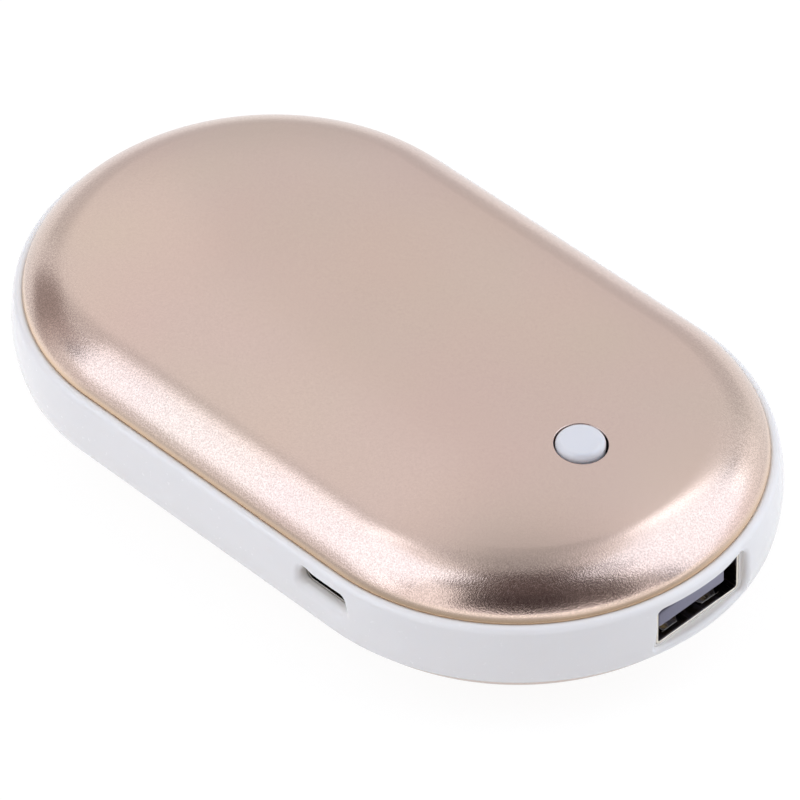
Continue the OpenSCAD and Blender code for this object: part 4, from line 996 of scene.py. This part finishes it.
# Directions are given in degrees from the middle of the warmer: azimuth from +X, then elevation.
# A softbox stands on each side of the camera and dark screens behind it. The other cloths are grey or white,
# and the world shows white between them.
# Cloths stand at clothDistance, in metres, unless they have a distance of their own.
studio = Values(
    skyShown=1.0, skyLight=0.68, floorHalf=3.0, floorColour=(0.92, 0.92, 0.92),
    floorShown=0.85, floorBehind=1.1, floorNear=0.76, floorFront=0.49, floorGlow=1.07,
    nearReach=(-20, 45), frontReach=(50, 90), lampDistance=1.2, lampBack=1.35,
    lampColour=(0.91, 1.0, 1.11), clothDistance=1.9, clothColour=(0.03, 0.028, 0.028),
    clothColumns=25, clothRows=15,
    lamps=[  # name, azimuths, elevations and level
        ("left_softbox", (-148, -93), (21, 71), 1.95),
        ("right_softbox", (16, 81), (13, 71), 1.88),
    ],
    cloths=[  # the same, and what differs from a plain cloth
        ("screen_low", (-72, -22), (20.5, 50), 0.03, {"tone": (1.6, 1.0, 0.95)}),
        ("screen_high", (-62, -22), (50, 76), 0.08, {"tone": (1.4, 1.0, 0.95)}),
        ("screen_left", (-88, -62), (50, 76), 0.15, {"tone": (1.2, 1.0, 0.95)}),
        ("screen_right", (-22, 8), (20.5, 76), 0.13, {"tone": (1.2, 1.0, 0.95)}),
        ("left_flank", (-95, -74), (22, 48), 1.5, {}),
        ("left_foot", (-103, -93), (20, 31), 1.35, {"distance": 1.55}),
        ("right_foot", (71, 84), (12, 25), 1.25, {"distance": 1.55}),
        ("right_flag", (9, 17), (50, 68), 0.2, {"distance": 1.0}),
        ("front_strip", (-88, -54), (12, 27.5), 1.4, {"soft": 0.4, "distance": 1.88}),
        ("front_middle", (-54, -10), (12, 24.5), 1.5, {"soft": 0.4, "distance": 1.88}),
        ("right_feather", (17, 82), (66, 72), 1.2, {"distance": 1.0}),
        ("left_feather", (-148, -92), (63, 72), 1.3, {"distance": 1.0}),
        ("front_right", (-10, 16), (12, 20.5), 1.45, {"soft": 0.4}),
        ("front_low", (-125, -30), (-4, 8), 0.52, {"soft": 0.9}),
        ("middle_low", (-30, 14), (-4, 8), 1.0, {"soft": 0.7}),
        ("right_low", (14, 90), (-4, 13), 1.25, {"soft": 0.45}),
        ("left_wall", (-176, -148), (34, 64), 0.8, {}),
        ("grey_cloth", (-179, -159), (-2, 32), 0.36, {"tone": (1.15, 1.0, 0.97)}),
        ("grey_side", (-159, -150), (-2, 34), 0.62, {"tone": (1.1, 1.0, 0.98)}),
        ("backdrop_left", (146, 180), (26, 60), 1.1, {"soft": 0.8}),
        ("backdrop_low", (96, 172), (-3, 22), 0.8, {"soft": 0.8}),
        ("ceiling_front", (-88, 14), (76, 82), 0.45, {}),
        ("ceiling_right", (14, 88), (74, 82), 0.66, {}),
        ("ceiling_back", (92, 152), (66, 82), 0.56, {}),
        ("ceiling_left", (152, 272), (74, 82), 0.68, {}),
        ("ceiling_top", (-180, 180), (82, 90), 0.46, {}),
    ],
)


# 1 for what the camera, mirrors and glass see, and 0 for everything else
def addSeenShare(tree):
    path = addNode(tree, "LightPath", {}).outputs
    either = addMath(tree, "MAXIMUM", path["Is Camera Ray"], path["Is Glossy Ray"])
    return addMath(tree, "MAXIMUM", either, path["Is Transmission Ray"])


# Direction on the unit sphere from azimuth and elevation in degrees
def direction(azimuth, elevation):
    a, e = np.radians(azimuth), np.radians(elevation)
    return np.stack([np.cos(e) * np.cos(a), np.cos(e) * np.sin(a), np.sin(e) + 0 * a], -1)


# New matt material of one colour, with no shine of its own
def newMatt(name, colour, roughness):
    material, tree, shader = newMaterial(name)
    setShader(tree, shader, {"Base Color": colour, "Roughness": roughness, "Specular IOR Level": 0.0})
    return material, tree, shader


# Object of the studio, which the exported model leaves out
def placeStage(name, points, faces, material):
    mesh = bpy.data.meshes.new(name)
    mesh.from_pydata(points, [], faces)
    mesh.materials.append(material)
    item = addItem(name, mesh)


# A square floor. The camera sees it white with a soft shadow. In mirrors it glows less on the camera's side
# than behind the warmer, and least far in front.
def makeFloor():
    half = studio.floorHalf
    material, tree, shader = newMatt("floor_white", studio.floorColour, roughness=0.9)
    flat = math.hypot(camBack.x, camBack.y)
    inputs = {0: addPlace(tree), 1: (camBack.x / flat, camBack.y / flat, 0)}
    towards = addNode(tree, "VectorMath", inputs, operation="DOT_PRODUCT").outputs["Value"]
    near, front = ([v * mm for v in studio[k]] for k in ("nearReach", "frontReach"))
    behind = addRange(tree, towards, *near, studio.floorBehind, studio.floorNear)
    darker = addRange(tree, towards, *front, 0, studio.floorNear - studio.floorFront)
    mirrored = addMath(tree, "SUBTRACT", behind, darker)
    toCamera = addNode(tree, "LightPath", {}).outputs["Is Camera Ray"]
    strength = addRange(tree, toCamera, 0, 1, mirrored, studio.floorGlow)
    glow = addNode(tree, "Emission", {"Strength": strength}).outputs["Emission"]
    level = addRange(tree, toCamera, 0, 1, 1, studio.floorShown)
    share = addMath(tree, "MULTIPLY", level, addSeenShare(tree))
    mix = addNode(tree, "MixShader", {0: share, 1: shader.outputs["BSDF"], 2: glow})
    output = next(n for n in tree.nodes if n.type == "OUTPUT_MATERIAL")
    tree.links.new(mix.outputs["Shader"], output.inputs["Surface"])
    corners = [(-half, -half, 0), (half, -half, 0), (half, half, 0), (-half, half, 0)]
    placeStage("floor", corners, [(0, 1, 2, 3)], material)


# Cloth as a part of a sphere about the warmer: every point of a grid of directions lies at one distance. It
# glows at its level in mirrors, and at the soft share of that on everything else.
def makeCloth(name, azimuth, elevation, level=0.0, soft=1.0, tone=(1.0, 1.0, 1.0),
              distance=studio.clothDistance):
    columns, rows = studio.clothColumns, studio.clothRows
    angles = np.meshgrid(np.linspace(*azimuth, columns), np.linspace(*elevation, rows))
    points = direction(*angles) * distance
    material, tree, shader = newMatt(name, studio.clothColour, roughness=1.0)
    if level:
        inMirror = addNode(tree, "LightPath", {}).outputs["Is Glossy Ray"]
        strength = addRange(tree, inMirror, 0, 1, level * soft, level)
        setShader(tree, shader, {"Emission Color": tone, "Emission Strength": strength})
    placeStage(name, points.reshape(-1, 3).tolist(), openFaces(rows, columns).tolist(), material)


# Softbox: a rectangle that faces the warmer and fills its span of directions, with a dark cloth behind it
def makeLamp(name, azimuth, elevation, level):
    far = studio.lampDistance
    (a0, a1), (e0, e1) = azimuth, elevation
    middle = (e0 + e1) / 2
    place = Vector(direction((a0 + a1) / 2, middle) * far)
    data = bpy.data.lights.new(name, "AREA")
    data.shape = "RECTANGLE"
    data.size = 2 * far * math.tan(math.radians((a1 - a0) / 2)) * math.cos(math.radians(middle))
    data.size_y = 2 * far * math.tan(math.radians((e1 - e0) / 2))
    data.energy = level * math.pi * data.size * data.size_y
    data.color = studio.lampColour
    item = addItem(name, data)
    item.location = place
    item.rotation_euler = (-place).to_track_quat("-Z", "Y").to_euler()
    makeCloth(name + "_back", azimuth, elevation, distance=far * studio.lampBack)


# The world: white for the camera and mirrors, and a lower level for the light that it gives
def makeWorld():
    world = bpy.data.worlds.new("studio")
    world.use_nodes = True
    tree = world.node_tree
    tree.nodes.clear()
    shown, light = (addNode(tree, "Background", {"Color": (1, 1, 1), "Strength": level}).outputs["Background"]
                    for level in (studio.skyShown, studio.skyLight))
    mix = addNode(tree, "MixShader", {0: addSeenShare(tree), 1: light, 2: shown})
    addNode(tree, "OutputWorld", {"Surface": mix.outputs["Shader"]})
    bpy.context.scene.world = world


makeFloor()
for lamp in studio.lamps:
    makeLamp(*lamp)
for name, azimuth, elevation, level, more in studio.cloths:
    makeCloth(name, azimuth, elevation, level, **more)
makeWorld()
bpy.context.scene.view_settings.view_transform = "Standard"
print("floor and light made")
